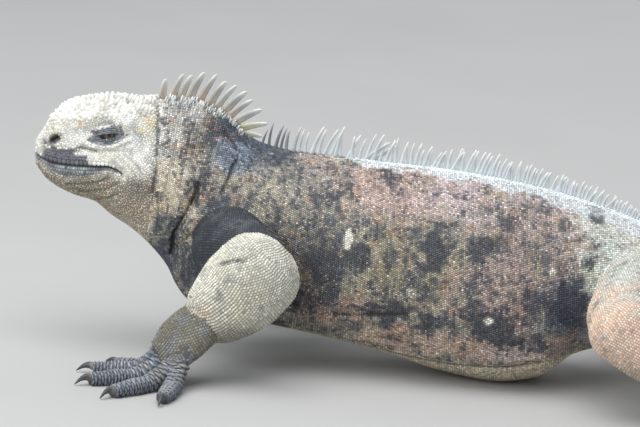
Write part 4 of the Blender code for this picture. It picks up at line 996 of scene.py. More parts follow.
@dataclass
class Markings:
    """The colours of skin and coat, worked out from where a scale grows."""

    form: BodyForm
    ground: Colour = (0.4, 0.37, 0.31)
    belly_edge: Line = (
        (-0.16, 0.028), (-0.098, 0.0245), (-0.02, 0.0185), (0.015, 0.0205), (0.045, 0.027), (0.12, 0.036),
    )
    ridge_reach: Line = ((-0.125, 0.001), (-0.09, 0.0018), (-0.05, 0.0026), (0.0, 0.0042), (0.08, 0.0065))
    ear_edge: Line = ((-0.2483, 0.176), (-0.2466, 0.155), (-0.2452, 0.1387), (-0.247, 0.12))
    eye_patch: Blotch = Blotch(-0.2822, 0.1555, 0.0125, 0.0066)
    eye_corner: Blotch = Blotch(-0.2665, 0.16, 0.006, 0.003)
    nostril_rim: Blotch = Blotch(-0.3197, 0.15, 0.0062, 0.0058)
    band_length: float = 0.058

    @staticmethod
    def spotted(points: Array, spots: tuple[Blotch, ...], seed: int, ragged: float = 1.0) -> Array:
        """How much each point lies in one of the spots, whose rims are ragged.

        Args:
            points: Places on the body.
            spots: Ovals in the side view, drawn on both sides with a small shift.
            seed: Picks the raggedness.
            ragged: How ragged the rims are.

        Returns:
            A share from 0 to 1 for each point.
        """
        right = points[:, 1] > 0
        x, z = points[:, 0] + 0.011 * right, points[:, 2] + 0.004 * right
        rim = ragged * (0.9 * noise(points, 0.005, seed) + 0.7 * noise(points, 0.002, seed + 1))
        share = np.zeros(len(points))
        for spot in spots:
            share = np.maximum(share, spot.depth * (1 - ramp(way_out(spot, x, z) + rim, 0.75, 1.25)))
        return share

    def body(self, points: Array, places: Array) -> Array:
        """Colours of the whole body, from the snout to the tip of the tail.

        Args:
            points: Places on the skin.
            places: How far along the body each lies.

        Returns:
            One linear colour for each point.
        """
        share = self.form.height_share(places, points[:, 2])
        at = places + (0.009 * noise(points, 0.0032, 41) + 0.006 * noise(points, 0.0014, 42))
        nape, vent = self.form.place("nape"), self.form.place("vent")
        return layered(
            self.head(points),
            (self.flank(points), ramp(at, nape + 0.0002, nape + 0.004)),
            (self.tail(points, share), ramp(at, vent - 0.01, vent + 0.03)),
        )

    def flank(self, points: Array) -> Array:
        """Colours of neck and trunk: light and dark mottling whose mixture changes from zone to zone."""
        x, z = points[:, 0] + 0.006 * (points[:, 1] > 0), points[:, 2]
        broad, patchy, grain = noise(points, 0.0105, 3), noise(points, 0.0042, 4), noise(points, 0.0016, 5)
        streaks = noise(points * np.array([1.0, 0.2, 0.2]), 0.0021, 21)
        light = plain(self.ground, len(points))
        dark = np.full(len(points), 0.46)
        for zone in ZONES:
            inside = 1 - ramp(way_out(zone, x, z) + 0.7 * broad + 0.5 * patchy, 0.55, 1.4)
            light = blend(light, zone.light, inside)
            dark = dark + (zone.dark - dark) * inside
        light = layered(
            light,
            (Palette.BROWN_ORANGE, ramp(cloud(points, 0.0085, 6), 0.55, 0.85) * 0.4),
            (Palette.YELLOW_GREY, ramp(cloud(points, 0.01, 22), 0.55, 0.85) * 0.35),
        )
        light = light * (1 + 0.7 * grain)[:, None]
        blots = self.spotted(points, BLOTCHES, 7)
        dark = dark * 0.88 + (0.95 - dark * 0.88) * blots
        neck = 1 - ramp(x, -0.215, -0.19)
        level = 0.5 + 0.55 * broad + (0.7 - 0.3 * neck) * patchy
        level += (1.05 + 0.35 * neck) * grain + (0.55 + 0.35 * neck) * streaks
        depth = ramp(level, 1 - dark - 0.3, 1 - dark + 0.3) * 0.88
        bluish = ramp(cloud(points, 0.01, 8) + 0.6 * ramp(x, 0.02, 0.06), 0.5, 1.0)
        navy = layered(
            plain(Palette.BLOTCH, len(points)),
            (Palette.BLOTCH_BLUE, bluish * 0.8),
            (Palette.BLOTCH_DEEP, blots * 0.7),
        )
        reach = height_on(self.ridge_reach, x)
        drop = self.form.curves["top_z"](self.places_of(points[:, 0])) - z
        ridge = 1 - ramp(drop + 0.004 * patchy + 0.004 * broad, reach * 0.6, reach * 1.3)
        ridge *= ramp(x, -0.135, -0.09) * (1 - 0.5 * blots)
        under = 1 - ramp(z - height_on(self.belly_edge, x) + 0.004 * patchy, -0.002, 0.0025)
        under *= ramp(x, -0.205, -0.16)
        # Painted shade along the deep folds of neck and trunk.
        grooves = np.zeros(len(points))
        wavy = 0.0035 * noise(points, 0.007, 23)
        for feature in FEATURES:
            if feature.height < -0.0012 and feature.name.endswith("fold"):
                far = distance_to_line(points[:, 0] + wavy, z, feature.line)
                grooves = np.maximum(grooves, np.exp(-((far / (feature.reach * 0.42)) ** 2)))
        return layered(
            light,
            (navy, depth + (0.94 - depth) * blots**2 * 0.7),
            (Palette.RIDGE, ridge * (0.85 + 0.3 * grain)),
            (Palette.BELLY, under * (0.9 + 0.4 * patchy)),
            # Painted shade in the folds.
            (Palette.GROOVE, grooves * 0.62),
            (Palette.WHITE_SPOT, self.spotted(points, PALE_SPOTS, 11, 0.8)),
        )

    def places_of(self, x: Array) -> Array:
        """How far along the body its top has each x."""
        places = np.linspace(0.0, self.form.knots[-1], 1500)
        return np.interp(x, self.form.curves["top_x"](places), places)

    def head(self, points: Array) -> Array:
        """Colours of the head: creamy white with grey specks, dark round the eye and on the upper lip."""
        x, z = points[:, 0], points[:, 2]
        fine, broad = noise(points, 0.0026, 14), noise(points, 0.009, 15)

        def near(line: Line, reach: float) -> Array:
            """How near the points lie to a line, with a ragged rim."""
            return np.exp(-((distance_to_line(x, z, line) / (reach * (1 + 0.5 * fine))) ** 2))

        crown = ramp(z - height_on(CROWN_EDGE, x), -0.002, 0.002)
        specks = ramp(fine + 0.3 * broad, 0.12, 0.36) * (0.25 + 0.6 * ramp(x, -0.305, -0.265))
        patch = ramp(cloud(points, 0.0055, 16), 0.5, 0.8) * ramp(x, -0.3, -0.275) * (1 - 0.55 * crown)
        jaw = height_on(JAW_LINE, x)
        under = 1 - ramp(z - jaw, -0.0004, 0.0004 + 0.008 * ramp(x, -0.272, -0.25))
        drop = height_on(LOWER_LIP_EDGE, x) - z
        chin = under * ramp(drop + 0.012 * broad, 0.003, 0.011)
        rear = x + 0.02 * broad
        tan = under * ramp(cloud(points, 0.005, 26), 0.48, 0.8)
        lip = under * ramp(-drop, -0.0012, 0.0008) * (x < -0.2705)
        upper = (1 - under) * (1 - ramp(z - height_on(UPPER_LIP_EDGE, x) + 0.0012 * fine, -0.0006, 0.0006))
        upper *= (1 - ramp(x, -0.2957, -0.2947)) * ramp(x, -0.33, -0.3255)
        finger = near(((-0.3037, 0.1447), (-0.3007, 0.1462), (-0.2947, 0.1451), (-0.2895, 0.1446)), 0.0011)
        pale_finger = near(((-0.304, 0.1412), (-0.2971, 0.1418), (-0.2894, 0.1419)), 0.0013)
        eye = way_out(self.eye_patch, x, z - EYE_SLANT * (x - self.eye_patch.x))
        eye_corner, rim = way_out(self.eye_corner, x, z), way_out(self.nostril_rim, x, z)
        return layered(
            plain(Palette.CREAM_WHITE, len(points)),
            (Palette.CHEEK, (1 - crown) * (0.55 + broad)),
            (Palette.SPECK, specks * (0.55 + 0.45 * crown)),
            (Palette.CREAM, ramp(broad, 0.08, 0.3) * 0.6),
            (Palette.LOREAL, patch * 0.65),
            (Palette.CREAM, ramp(cloud(points, 0.006, 24), 0.6, 0.8) * 0.5),
            (Palette.LOREAL, near(((-0.3125, 0.156), (-0.299, 0.159)), 0.003) * 0.5),
            (Palette.YELLOW_BROWN, near(((-0.2521, 0.1671), (-0.254, 0.169)), 0.0026) * 0.7),
            (Palette.YELLOW_BROWN, near(((-0.2568, 0.1614), (-0.26, 0.1625)), 0.0018) * 0.6),
            (Palette.ORANGE, near(((-0.3029, 0.1634), (-0.3025, 0.162)), 0.0013) * 0.9),
            (Palette.EAR, near(((-0.264, 0.1585), (-0.259, 0.156)), 0.0036) * 0.45),
            (Palette.JOWL, under * ramp(jaw - z + 0.006 * broad, -0.001, 0.006)),
            (Palette.CREAM, under * (1 - ramp(drop + 0.006 * broad, 0.002, 0.006)) * 0.7),
            (Palette.CHIN, chin * 0.9 * (1 - ramp(rear, -0.285, -0.262))),
            (Palette.THROAT, chin * ramp(rear, -0.285, -0.255) * ramp(jaw - z, 0.008, 0.018)),
            (Palette.BROWN_ORANGE, tan * 0.3),
            # Painted shade in the chin folds.
            *((Palette.NECK_DARK, near(line, 0.0008) * 0.55) for line in CHIN_FOLDS),
            (Palette.LIP_BLUE, lip * 0.9),
            (Palette.LABIAL, lip * ramp(fine, 0.05, 0.25) * 0.7),
            (Palette.LABIAL, near(((-0.2885, 0.1322), (-0.277, 0.134)), 0.0014) * 0.85),
            (Palette.LABIAL, np.maximum(upper, finger) * 0.95),
            (Palette.CREAM_WHITE, pale_finger * 1.1),
            (Palette.WHITE_SPOT, near(((-0.3256, 0.1434), (-0.3238, 0.1432)), 0.0014) * 0.95),
            (Palette.LID, (1 - ramp(eye + 1.1 * noise(points, 0.0014, 64), 0.8, 1.1)) * 0.9),
            (Palette.LID, (1 - ramp(eye_corner, 0.5, 1.1)) * ramp(fine, -0.05, 0.1) * 0.8),
            (Palette.CREAM_WHITE, near(UNDER_EYE_FOLD, 0.0015) * 0.8),
            # Painted shade in the cheek wrinkles.
            *((Palette.SPECK, near(line, 0.0006) * 0.45) for line in CHEEK_WRINKLES),
            (Palette.MOSS, (1 - ramp(rim + fine, 0.55, 1.1)) * ramp(z, 0.1475, 0.152) * 0.75),
            (Palette.LABIAL, near(((-0.3275, 0.1462), (-0.32, 0.1458)), 0.0016) * 0.75),
            # Painted shade in the nostril and along the mouth slit.
            (Palette.GROOVE, near(NOSTRIL, 0.0026)),
            (Palette.GROOVE, near(MOUTH_LINE, 0.0008) * 0.9),
            # Painted shade along the fold at the back of the head.
            (Palette.NECK_DARK, near(self.ear_edge, 0.0008) * 0.78),
        )

    def tail(self, points: Array, share: Array) -> Array:
        """Colours of the tail: olive with broad dark bands, paler under it."""
        x = points[:, 0]
        broad, fine, flecks = noise(points, 0.02, 17), noise(points, 0.006, 18), noise(points, 0.003, 25)
        warped = x + 0.03 * broad + 0.016 * fine + 0.007 * np.sin(x * 47.0 + 0.6 * np.sign(points[:, 1]))
        band = 0.5 + 0.5 * np.sin(warped * 2 * math.pi / self.band_length)
        return layered(
            plain(Palette.TAIL, len(points)),
            (Palette.RUMP, (1 - ramp(x + 0.03 * broad, 0.13, 0.2)) * 0.75),
            (Palette.TAIL_DARK, ramp(band + 0.9 * fine + 0.7 * flecks, 0.35, 1.05) * 0.72),
            (Palette.TAIL_DARK, ramp(x, 0.52, 0.78) * 0.55),
            (Palette.BELLY, (1 - ramp(share + 0.1 * fine, 0.06, 0.22)) * 0.45),
        )

    def limb(self, points: Array, region: Region, arm: bool, normals: Array) -> Array:
        """Colours of a limb.

        Args:
            points: Places on its skin.
            region: Which length of the limb they lie on.
            arm: Whether it is an arm, rather than a leg.
            normals: The outward directions there.

        Returns:
            One linear colour for each point.
        """
        x, y, z = points.T
        broad, fine = noise(points, 0.01, 19), noise(points, 0.0035, 20)
        if region is Region.DIGIT:
            # Painted highlight on the upward-facing tops of the digit plates.
            pale = ramp(normals[:, 2] + broad, 0.35, 1.0)
            ground, layers = Palette.DIGIT, [(Palette.DIGIT_PALE, pale * 0.7)]
            layers.append((Palette.HAND, ramp(broad, 0.0, 0.35) * 0.5))
        elif region is Region.PALM:
            ground, layers = Palette.HAND, [(Palette.DIGIT, ramp(broad + fine, 0.0, 0.4) * 0.7)]
        elif not arm:
            ground, layers = Palette.THIGH, [
                (Palette.RUMP, ramp(z + 0.03 * broad + 0.012 * fine, 0.074, 0.106)),
                (Palette.CREAM, ramp(fine, 0.05, 0.4) * 0.5),
                (Palette.NECK_GREY, ramp(broad + 0.6 * fine, 0.22, 0.45) * 0.7),
                (Palette.HAND, (1 - ramp(z, 0.03, 0.055)) * 0.7),
                (Palette.BELLY, ramp(-normals[:, 2], 0.3, 0.9) * 0.4),
            ]
        elif region is Region.UPPER:
            ground, layers = Palette.ARM_DARK, [(Palette.NECK_GREY, ramp(fine + broad, 0.1, 0.45) * 0.3)]
        else:
            reach = np.linalg.norm(points - points.mean(axis=0), axis=1)
            pink = (1 - ramp(z + 0.016 * broad, 0.05, 0.062)) * ramp(normals[:, 0], 0.1, -0.5)
            crease = distance_to_line(x - x.max(), z, FOREARM_CREASE)
            ground, layers = Palette.FOREARM, [
                (Palette.FOREARM_YELLOW, (1 - ramp(reach + 0.012 * broad, 0.008, 0.034)) * 0.55),
                (Palette.FOREARM_PINK, pink * 0.6),
                (Palette.HAND, (1 - ramp(z + 0.012 * broad, 0.036, 0.05)) * 0.7),
                (Palette.NECK_GREY, ramp(broad + fine, 0.3, 0.6) * 0.5),
                # Painted shade in the crease of the forearm.
                (Palette.NECK_DARK, np.exp(-((crease / 0.0013) ** 2)) * 0.85),
                # Darker, pinker underside: a pink tone with painted shade where the forearm faces the
                # floor.
                (Palette.LOW_PINK, ramp(-normals[:, 2], 0.35, 0.95) * 0.45),
                # Painted shade on the side of the forearm that faces the body.
                (Palette.ARM_DARK, ramp(np.abs(y), 0.09, 0.076) * 0.8),
            ]
        return layered(plain(ground, len(points)), *layers)


def add_piece(name: str, mesh: bpy.types.Mesh, finish: bpy.types.Material, slot: str) -> bpy.types.Object:
    """Puts a mesh in the scene as a piece that rides on the body.

    Args:
        name: The piece's name.
        mesh: Its mesh, in world places.
        finish: Its material.
        slot: The record's material slot; not used.

    Returns:
        The piece.
    """
    mesh.materials.clear()
    mesh.materials.append(finish)
    mesh.shade_smooth()
    piece = bpy.data.objects.new(name, mesh)
    bpy.context.scene.collection.objects.link(piece)
    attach(piece, BODY)
    log.info("%s: %d faces", name, len(mesh.polygons))
    return piece


def mesh_from(name: str, bm: bmesh.types.BMesh) -> bpy.types.Mesh:
    """A new mesh from a bmesh, which is freed."""
    mesh = bpy.data.meshes.new(name)
    bm.to_mesh(mesh)
    bm.free()
    return mesh


def paint(mesh: bpy.types.Mesh, colours: Array) -> None:
    """Stores a colour for each vertex, which the materials read.

    Args:
        mesh: The mesh.
        colours: Linear colours, one row for each vertex.
    """
    layer = mesh.color_attributes.new(TONE, "FLOAT_COLOR", "POINT")
    full = np.ones((len(colours), 4), dtype=np.float32)
    full[:, :3] = np.clip(colours, 0.0, 1.0)
    layer.data.foreach_set("color", full.ravel())


def vertex_rows(mesh: bpy.types.Mesh, kind: str = "co") -> Array:
    """The places of a mesh's vertices, or their normals, one row each."""
    flat = np.empty(len(mesh.vertices) * 3, dtype=np.float32)
    mesh.vertices.foreach_get(kind, flat)
    return flat.reshape(-1, 3).astype(float)


@dataclass
class Surface:
    """One closed surface that the skin is joined from, for measuring how near other points lie."""

    tree: BVHTree
    low: Array
    high: Array
    join: float

    @classmethod
    def of(cls, bm: bmesh.types.BMesh, join: float) -> "Surface":
        """Reads a closed mesh."""
        points = np.array([vert.co for vert in bm.verts])
        return cls(BVHTree.FromBMesh(bm), points.min(axis=0), points.max(axis=0), join)

    def depths(self, points: Array, reach: float) -> Array:
        """How far outside the surface points lie, negative inside; far ones are given as infinite.

        Args:
            points: The places to measure.
            reach: Beyond this no measure is taken.

        Returns:
            The signed distance of each point.
        """
        found = np.full(len(points), np.inf)
        near = np.all((points > self.low - reach) & (points < self.high + reach), axis=1)
        for index in np.flatnonzero(near):
            place = Vector(points[index])
            hit, normal, _, distance = self.tree.find_nearest(place)
            outside = (place - hit).dot(normal) >= 0
            found[index] = distance if outside else -distance
        return found


@dataclass
class Skin:
    """The one skin of the animal, joined from the body and the limbs, with its joins smoothed."""

    form: BodyForm
    limbs: list[LimbForm]
    marks: Markings
    rows: int = 176
    mouth_row: int = 34
    head_step: float = 0.0012
    neck_step: float = 0.0015
    trunk_step: float = 0.0027
    tail_step: float = 0.0062
    body_join: float = 0.011
    rounds: int = 16
    kept: float = 0.85  # the share of an inward move that is taken back, so that knees and elbows stay full
    near: float = 0.004  # how far from a limb's surface the skin takes its colours
    body_surface: Surface | None = None
    part_surfaces: dict[int, Surface] = field(default_factory=dict)
    tree: BVHTree | None = None

    def ring_angles(self, places: Array) -> Array:
        """Angles of the rows round each ring, with one row along the mouth on the head."""
        half = self.rows // 2
        even = math.pi * self.mouth_row / half
        section = self.form.columns(places)
        middle_x = (section["low_x"] + section["top_x"]) / 2
        mouth = self.form.angle_of_height(places, height_on(MOUTH_LINE, middle_x))
        corner = MOUTH_LINE[-1][0]
        mouth = mouth + (even - mouth) * ramp(middle_x, corner, corner + 0.035)
        mouth = mouth[:, None]
        under = np.linspace(0, 1, self.mouth_row + 1)[None] * mouth
        over = np.linspace(0, 1, half - self.mouth_row + 1)[None, 1:] * (math.pi - mouth) + mouth
        left = np.concatenate([under, over], axis=1)
        return np.concatenate([left, 2 * math.pi - left[:, -2:0:-1]], axis=1)

    def body_mesh(self) -> bmesh.types.BMesh:
        """The closed surface of head, neck, trunk and tail."""
        place, end = self.form.place, self.form.knots[-1]
        stops = (place("snout_face"), place("nape"), place("shoulder"), place("vent"), end)
        steps = (self.head_step, self.neck_step, self.trunk_step, self.tail_step)
        parts = [stops[0] * (1 - np.cos(np.linspace(0.12, math.pi / 2, 12)))[:-1]]
        for start, stop, step in zip(stops, stops[1:], steps):
            parts.append(np.linspace(start, stop, round((stop - start) / step) + 1)[:-1])
        rows = np.concatenate([*parts, [end]])
        return lofted(list(self.form.skin(rows, self.ring_angles(rows))))

    def build(self, finish: bpy.types.Material) -> None:
        """Joins the surfaces, smooths the joins, colours the skin and puts it in the scene.

        Args:
            finish: The skin's material.
        """
        body = self.body_mesh()
        self.body_surface = Surface.of(body, self.body_join)
        group = bpy.data.collections.new("skin_parts")
        bpy.context.scene.collection.children.link(group)
        for part in (part for limb in self.limbs for part in limb.parts):
            bm = part.tube.mesh(part.sides)
            self.part_surfaces[id(part)] = Surface.of(bm, part.join)
            group.objects.link(bpy.data.objects.new("skin_part", mesh_from("skin_part", bm)))
        shell = bpy.data.objects.new("skin_shell", mesh_from("skin_shell", body))
        bpy.context.scene.collection.objects.link(shell)
        union = shell.modifiers.new("Join", "BOOLEAN")
        union.operation = "UNION"
        union.solver = "MANIFOLD"
        union.operand_type = "COLLECTION"
        union.collection = group
        graph = bpy.context.evaluated_depsgraph_get()
        mesh = bpy.data.meshes.new_from_object(shell.evaluated_get(graph))
        for leftover in [shell, *group.objects]:
            bpy.data.objects.remove(leftover)
        bpy.data.collections.remove(group)
        mesh.name = "skin"
        self.smooth_joins(mesh)
        self.colour(mesh)
        bm = bmesh.new()
        bm.from_mesh(mesh)
        self.tree = BVHTree.FromBMesh(bm)
        bm.free()
        piece = add_piece("skin", mesh, finish, "trunk_skin")
        flesh = ["head", "lower_jaw", "neck", "torso", "tail_1", "tail_2", "tail_3", "tail_4"]
        for limb in self.limbs:
            flesh += limb.nodes
        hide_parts(*flesh)

    def smooth_joins(self, mesh: bpy.types.Mesh) -> None:
        """Rounds the creases where one surface meets another."""
        points, normals = vertex_rows(mesh), vertex_rows(mesh, "normal")
        parts = self.part_surfaces.values()
        low = np.min([surface.low for surface in parts], axis=0) - self.body_join
        high = np.max([surface.high for surface in parts], axis=0) + self.body_join
        chosen = np.all((points > low) & (points < high), axis=1)
        surfaces = [self.body_surface, *parts]
        gaps = np.full((len(surfaces), len(points)), np.inf)
        for row, surface in zip(gaps, surfaces):
            row[chosen] = np.abs(surface.depths(points[chosen], surface.join))
        closest = np.argsort(gaps, axis=0, kind="stable")[:2]
        join = np.array([surface.join for surface in surfaces])[closest].min(axis=0)
        second = np.take_along_axis(gaps, closest, axis=0)[1]
        weight = np.clip(1 - second / join, 0, 1)
        edges = np.empty(len(mesh.edges) * 2, dtype=np.int32)
        mesh.edges.foreach_get("vertices", edges)
        ends = edges.reshape(-1, 2).T
        count = np.bincount(edges, minlength=len(points)).astype(float)
        start = points.copy()
        for _ in range(self.rounds):
            total = np.zeros_like(points)
            for axis in range(3):
                for one, other in (ends, ends[::-1]):
                    total[:, axis] += np.bincount(one, points[other, axis], len(points))
            points += (total / count[:, None] - points) * (0.6 * weight)[:, None]
        outward = ((points - start) * normals).sum(axis=1, keepdims=True)
        points -= normals * np.minimum(outward, 0.0) * self.kept
        points[:, 2] = np.maximum(points[:, 2], FLOOR)
        mesh.vertices.foreach_set("co", points.astype(np.float32).ravel())
        mesh.update()

    def colour(self, mesh: bpy.types.Mesh) -> None:
        """Gives the skin the coat's colours, darkened by painted shade where it shows between the scales.
        """
        points, normals = vertex_rows(mesh), vertex_rows(mesh, "normal")
        on_head = 1 - ramp(points[:, 0], -0.262, -0.24)
        # Painted shade: the skin between the scales is darkened, less on the pale head above the jaw.
        shade = SKIN_SHADE + (HEAD_SHADE - SKIN_SHADE) * on_head * ramp(points[:, 2], 0.122, 0.136)
        colours = self.marks.body(points, self.marks.places_of(points[:, 0])) * shade[:, None]
        best = np.abs(self.body_surface.depths(points, self.near))
        for limb in self.limbs:
            # Painted shade between the scales of the limbs.
            tone = SKIN_SHADE if limb.is_arm else LEG_SHADE
            for part in limb.parts:
                gaps = np.abs(self.part_surfaces[id(part)].depths(points, self.near))
                closer = gaps < best
                best = np.where(closer, gaps, best)
                if closer.any():
                    marks = self.marks.limb(points[closer], part.region, limb.is_arm, normals[closer])
                    colours[closer] = marks * tone
        paint(mesh, colours)


@dataclass
class Roots:
    """Where scales grow, one row for each.

    Attributes:
        at: Their places.
        out: The outward directions.
        back: The directions towards the tail or the tips of the digits.
        length: Their sizes along that direction.
        width: Their sizes across it.
        height: How far they stand out.
        colour: Their linear colours.
        unwrap: Where they lie on the unwrapped skin.
    """

    at: Array
    out: Array
    back: Array
    length: Array
    width: Array
    height: Array
    colour: Array
    unwrap: Array

    def pick(self, chosen: Array) -> "Roots":
        """Only the chosen scales."""
        return Roots(*(getattr(self, name)[chosen] for name in self.__dataclass_fields__))

    @staticmethod
    def joined(groups: list["Roots"]) -> "Roots":
        """Several groups as one."""
        names = Roots.__dataclass_fields__
        return Roots(*(np.concatenate([getattr(group, name) for group in groups]) for name in names))


class ScaleShape(NamedTuple):
    """The mesh of one scale, in shares of its length, width and height.

    Attributes:
        points: Its corners as along, across and up.
        faces: Its triangles.
        tint: How bright each corner is, as painted light: a highlight on the top and shade at the rim.
    """

    points: Array
    faces: Array
    tint: Array


def ring_faces(sides: int, rings: int) -> list[tuple[int, int, int]]:
    """Triangles between rings of corners that follow each other, and from the last ring to a tip."""
    faces = []
    for low in range(0, (rings - 1) * sides, sides):
        for i in range(sides):
            j, up = (i + 1) % sides, low + sides
            faces += [(low + i, low + j, up + j), (low + i, up + j, up + i)]
    last = (rings - 1) * sides
    return faces + [(last + i, last + (i + 1) % sides, last + sides) for i in range(sides)]


def keeled_shape() -> ScaleShape:
    """A small six-sided scale with a keel that rises towards its back."""
    rim = [(0.62, 0.0), (0.32, 0.5), (-0.32, 0.5), (-0.62, 0.0), (-0.32, -0.5), (0.32, -0.5)]
    points = [(along * 0.97, across * 0.97, -0.35) for along, across in rim]
    points += [(-0.16, 0.0, 0.86), (0.24, 0.0, 1.0)]
    front, back = 6, 7
    faces = [(1, 2, front), (1, front, back), (2, 3, front), (3, 4, front)]
    faces += [(4, 5, back), (4, back, front), (5, 0, back), (0, 1, back)]
    # The tints paint shade on the rim and a highlight along the keel.
    return ScaleShape(np.array(points), np.array(faces), np.array([0.58] * 6 + [1.12, 1.18]))


def domed_shape(
    sides: int,
    levels: tuple[tuple[float, float], ...],
    top: float,
    dark: float,
    first_turn: float = 0.0,
    end_shade: float = 0.0,
) -> ScaleShape:
    """A scale of rings that narrow to a point or a blunt top.

    Args:
        sides: How many sides it has.
        levels: Its rings, as their share of the width and their height.
        top: The height of its middle.
        dark: How bright its rim is, against 1.1 on top: painted shade at the rim, rising to a painted
            highlight on the top.
        first_turn: The angle of its first corner.
        end_shade: How much painted shade darkens its front and back ends, where they meet the next scales,
            against its sides.

    Returns:
        The shape.
    """
    points, tint = [], []
    for wide, high in levels:
        for i in range(sides):
            turn = first_turn + 2 * math.pi * i / sides
            points.append((math.cos(turn) * wide / 2, math.sin(turn) * wide / 2, high))
            # Painted light: brighter with height, and painted shade at the front and back ends.
            tint.append((dark + (1.1 - dark) * max(0.0, high)) * (1 - end_shade * abs(math.cos(turn)) * wide))
    points.append((0.0, 0.0, top))
    tint.append(1.1)
    return ScaleShape(np.array(points), np.array(ring_faces(sides, len(levels))), np.array(tint))


class Shapes:
    """The shapes of scale that the coat uses."""

    KEELED = keeled_shape()
    BEAD = domed_shape(6, ((1.04, -0.35), (0.72, 0.62)), 1.0, 0.88)
    PEBBLE = domed_shape(6, ((1.0, -0.35), (0.8, 0.45)), 1.0, 0.42)
    SPIKE = domed_shape(6, ((1.1, -0.25), (0.72, 0.45), (0.34, 0.95)), 1.15, 0.55)
    SCUTE = domed_shape(7, ((1.1, -0.25), (0.9, 0.22), (0.52, 0.74), (0.2, 0.98)), 1.03, 0.78)
    LIP_PLATE = domed_shape(8, ((1.1, -0.4), (1.02, 0.5), (0.8, 0.96)), 1.0, 0.62, math.pi / 8)
    # The ring plates get painted shade at their ends, where one ring meets the next.
    RING_PLATE = domed_shape(8, ((1.08, -0.4), (1.02, 0.1), (0.72, 0.92)), 1.0, 0.85, math.pi / 8, 0.8)


def joined_mesh(name: str, places: Array, shape: Array, colours: Array, patches: Array) -> bpy.types.Mesh:
    """One mesh of many small things of the same faces.

    Args:
        name: The mesh's name.
        places: The corners of each thing, as things by corners by three.
        shape: The triangles of one of them.
        colours: A linear colour for each corner.
        patches: Where each corner lies on the OFBake map.

    Returns:
        The mesh.
    """
    count, corners = places.shape[:2]
    faces = (shape[None] + (np.arange(count) * corners)[:, None, None]).reshape(-1, 3)
    places = places.reshape(-1, 3).copy()
    places[:, 2] = np.maximum(places[:, 2], FLOOR)
    mesh = bpy.data.meshes.new(name)
    mesh.vertices.add(len(places))
    mesh.vertices.foreach_set("co", places.astype(np.float32).ravel())
    mesh.loops.add(len(faces) * 3)
    mesh.loops.foreach_set("vertex_index", faces.astype(np.int32).ravel())
    mesh.polygons.add(len(faces))
    mesh.polygons.foreach_set("loop_start", (np.arange(len(faces)) * 3).astype(np.int32))
    mesh.update(calc_edges=True)
    paint(mesh, colours.reshape(-1, 3))
    layer = mesh.uv_layers.new(name=UNWRAP)
    layer.data.foreach_set("uv", patches.reshape(-1, 2)[faces.ravel()].astype(np.float32).ravel())
    return mesh


def scale_mesh(name: str, roots: Roots, shape: ScaleShape, seed: int) -> bpy.types.Mesh:
    """One mesh of many scales, with their colours and the OFBake map.

    Args:
        name: The mesh's name.
        roots: Where the scales grow.
        shape: The shape of each.
        seed: Picks the small turns and tints of single scales.

    Returns:
        The mesh.
    """
    rng = np.random.default_rng(seed)
    count = len(roots.at)
    out = unit(roots.out)
    across = unit(np.cross(out, roots.back))
    along = np.cross(across, out)
    turn = rng.normal(0, 0.07, count)[:, None]
    cosine, sine = np.cos(turn), np.sin(turn)
    along, across = along * cosine + across * sine, across * cosine - along * sine
    places = roots.at[:, None]
    for axis, way, size in ((0, along, roots.length), (1, across, roots.width), (2, out, roots.height)):
        places = places + way[:, None] * (shape.points[None, :, axis, None] * size[:, None, None])
    # Each corner keeps its shape's painted highlight or rim shade, times a random tone for the whole scale.
    tint = shape.tint[None, :, None] * np.exp(rng.normal(0, 0.05, (count, 1, 1)))
    flat = shape.points[:, :2]
    patches = roots.unwrap[:, None] + flat[None] / (np.abs(flat).max() * 2) * UNWRAP_PATCH
    return joined_mesh(name, places, shape.faces, roots.colour[:, None] * tint, patches)


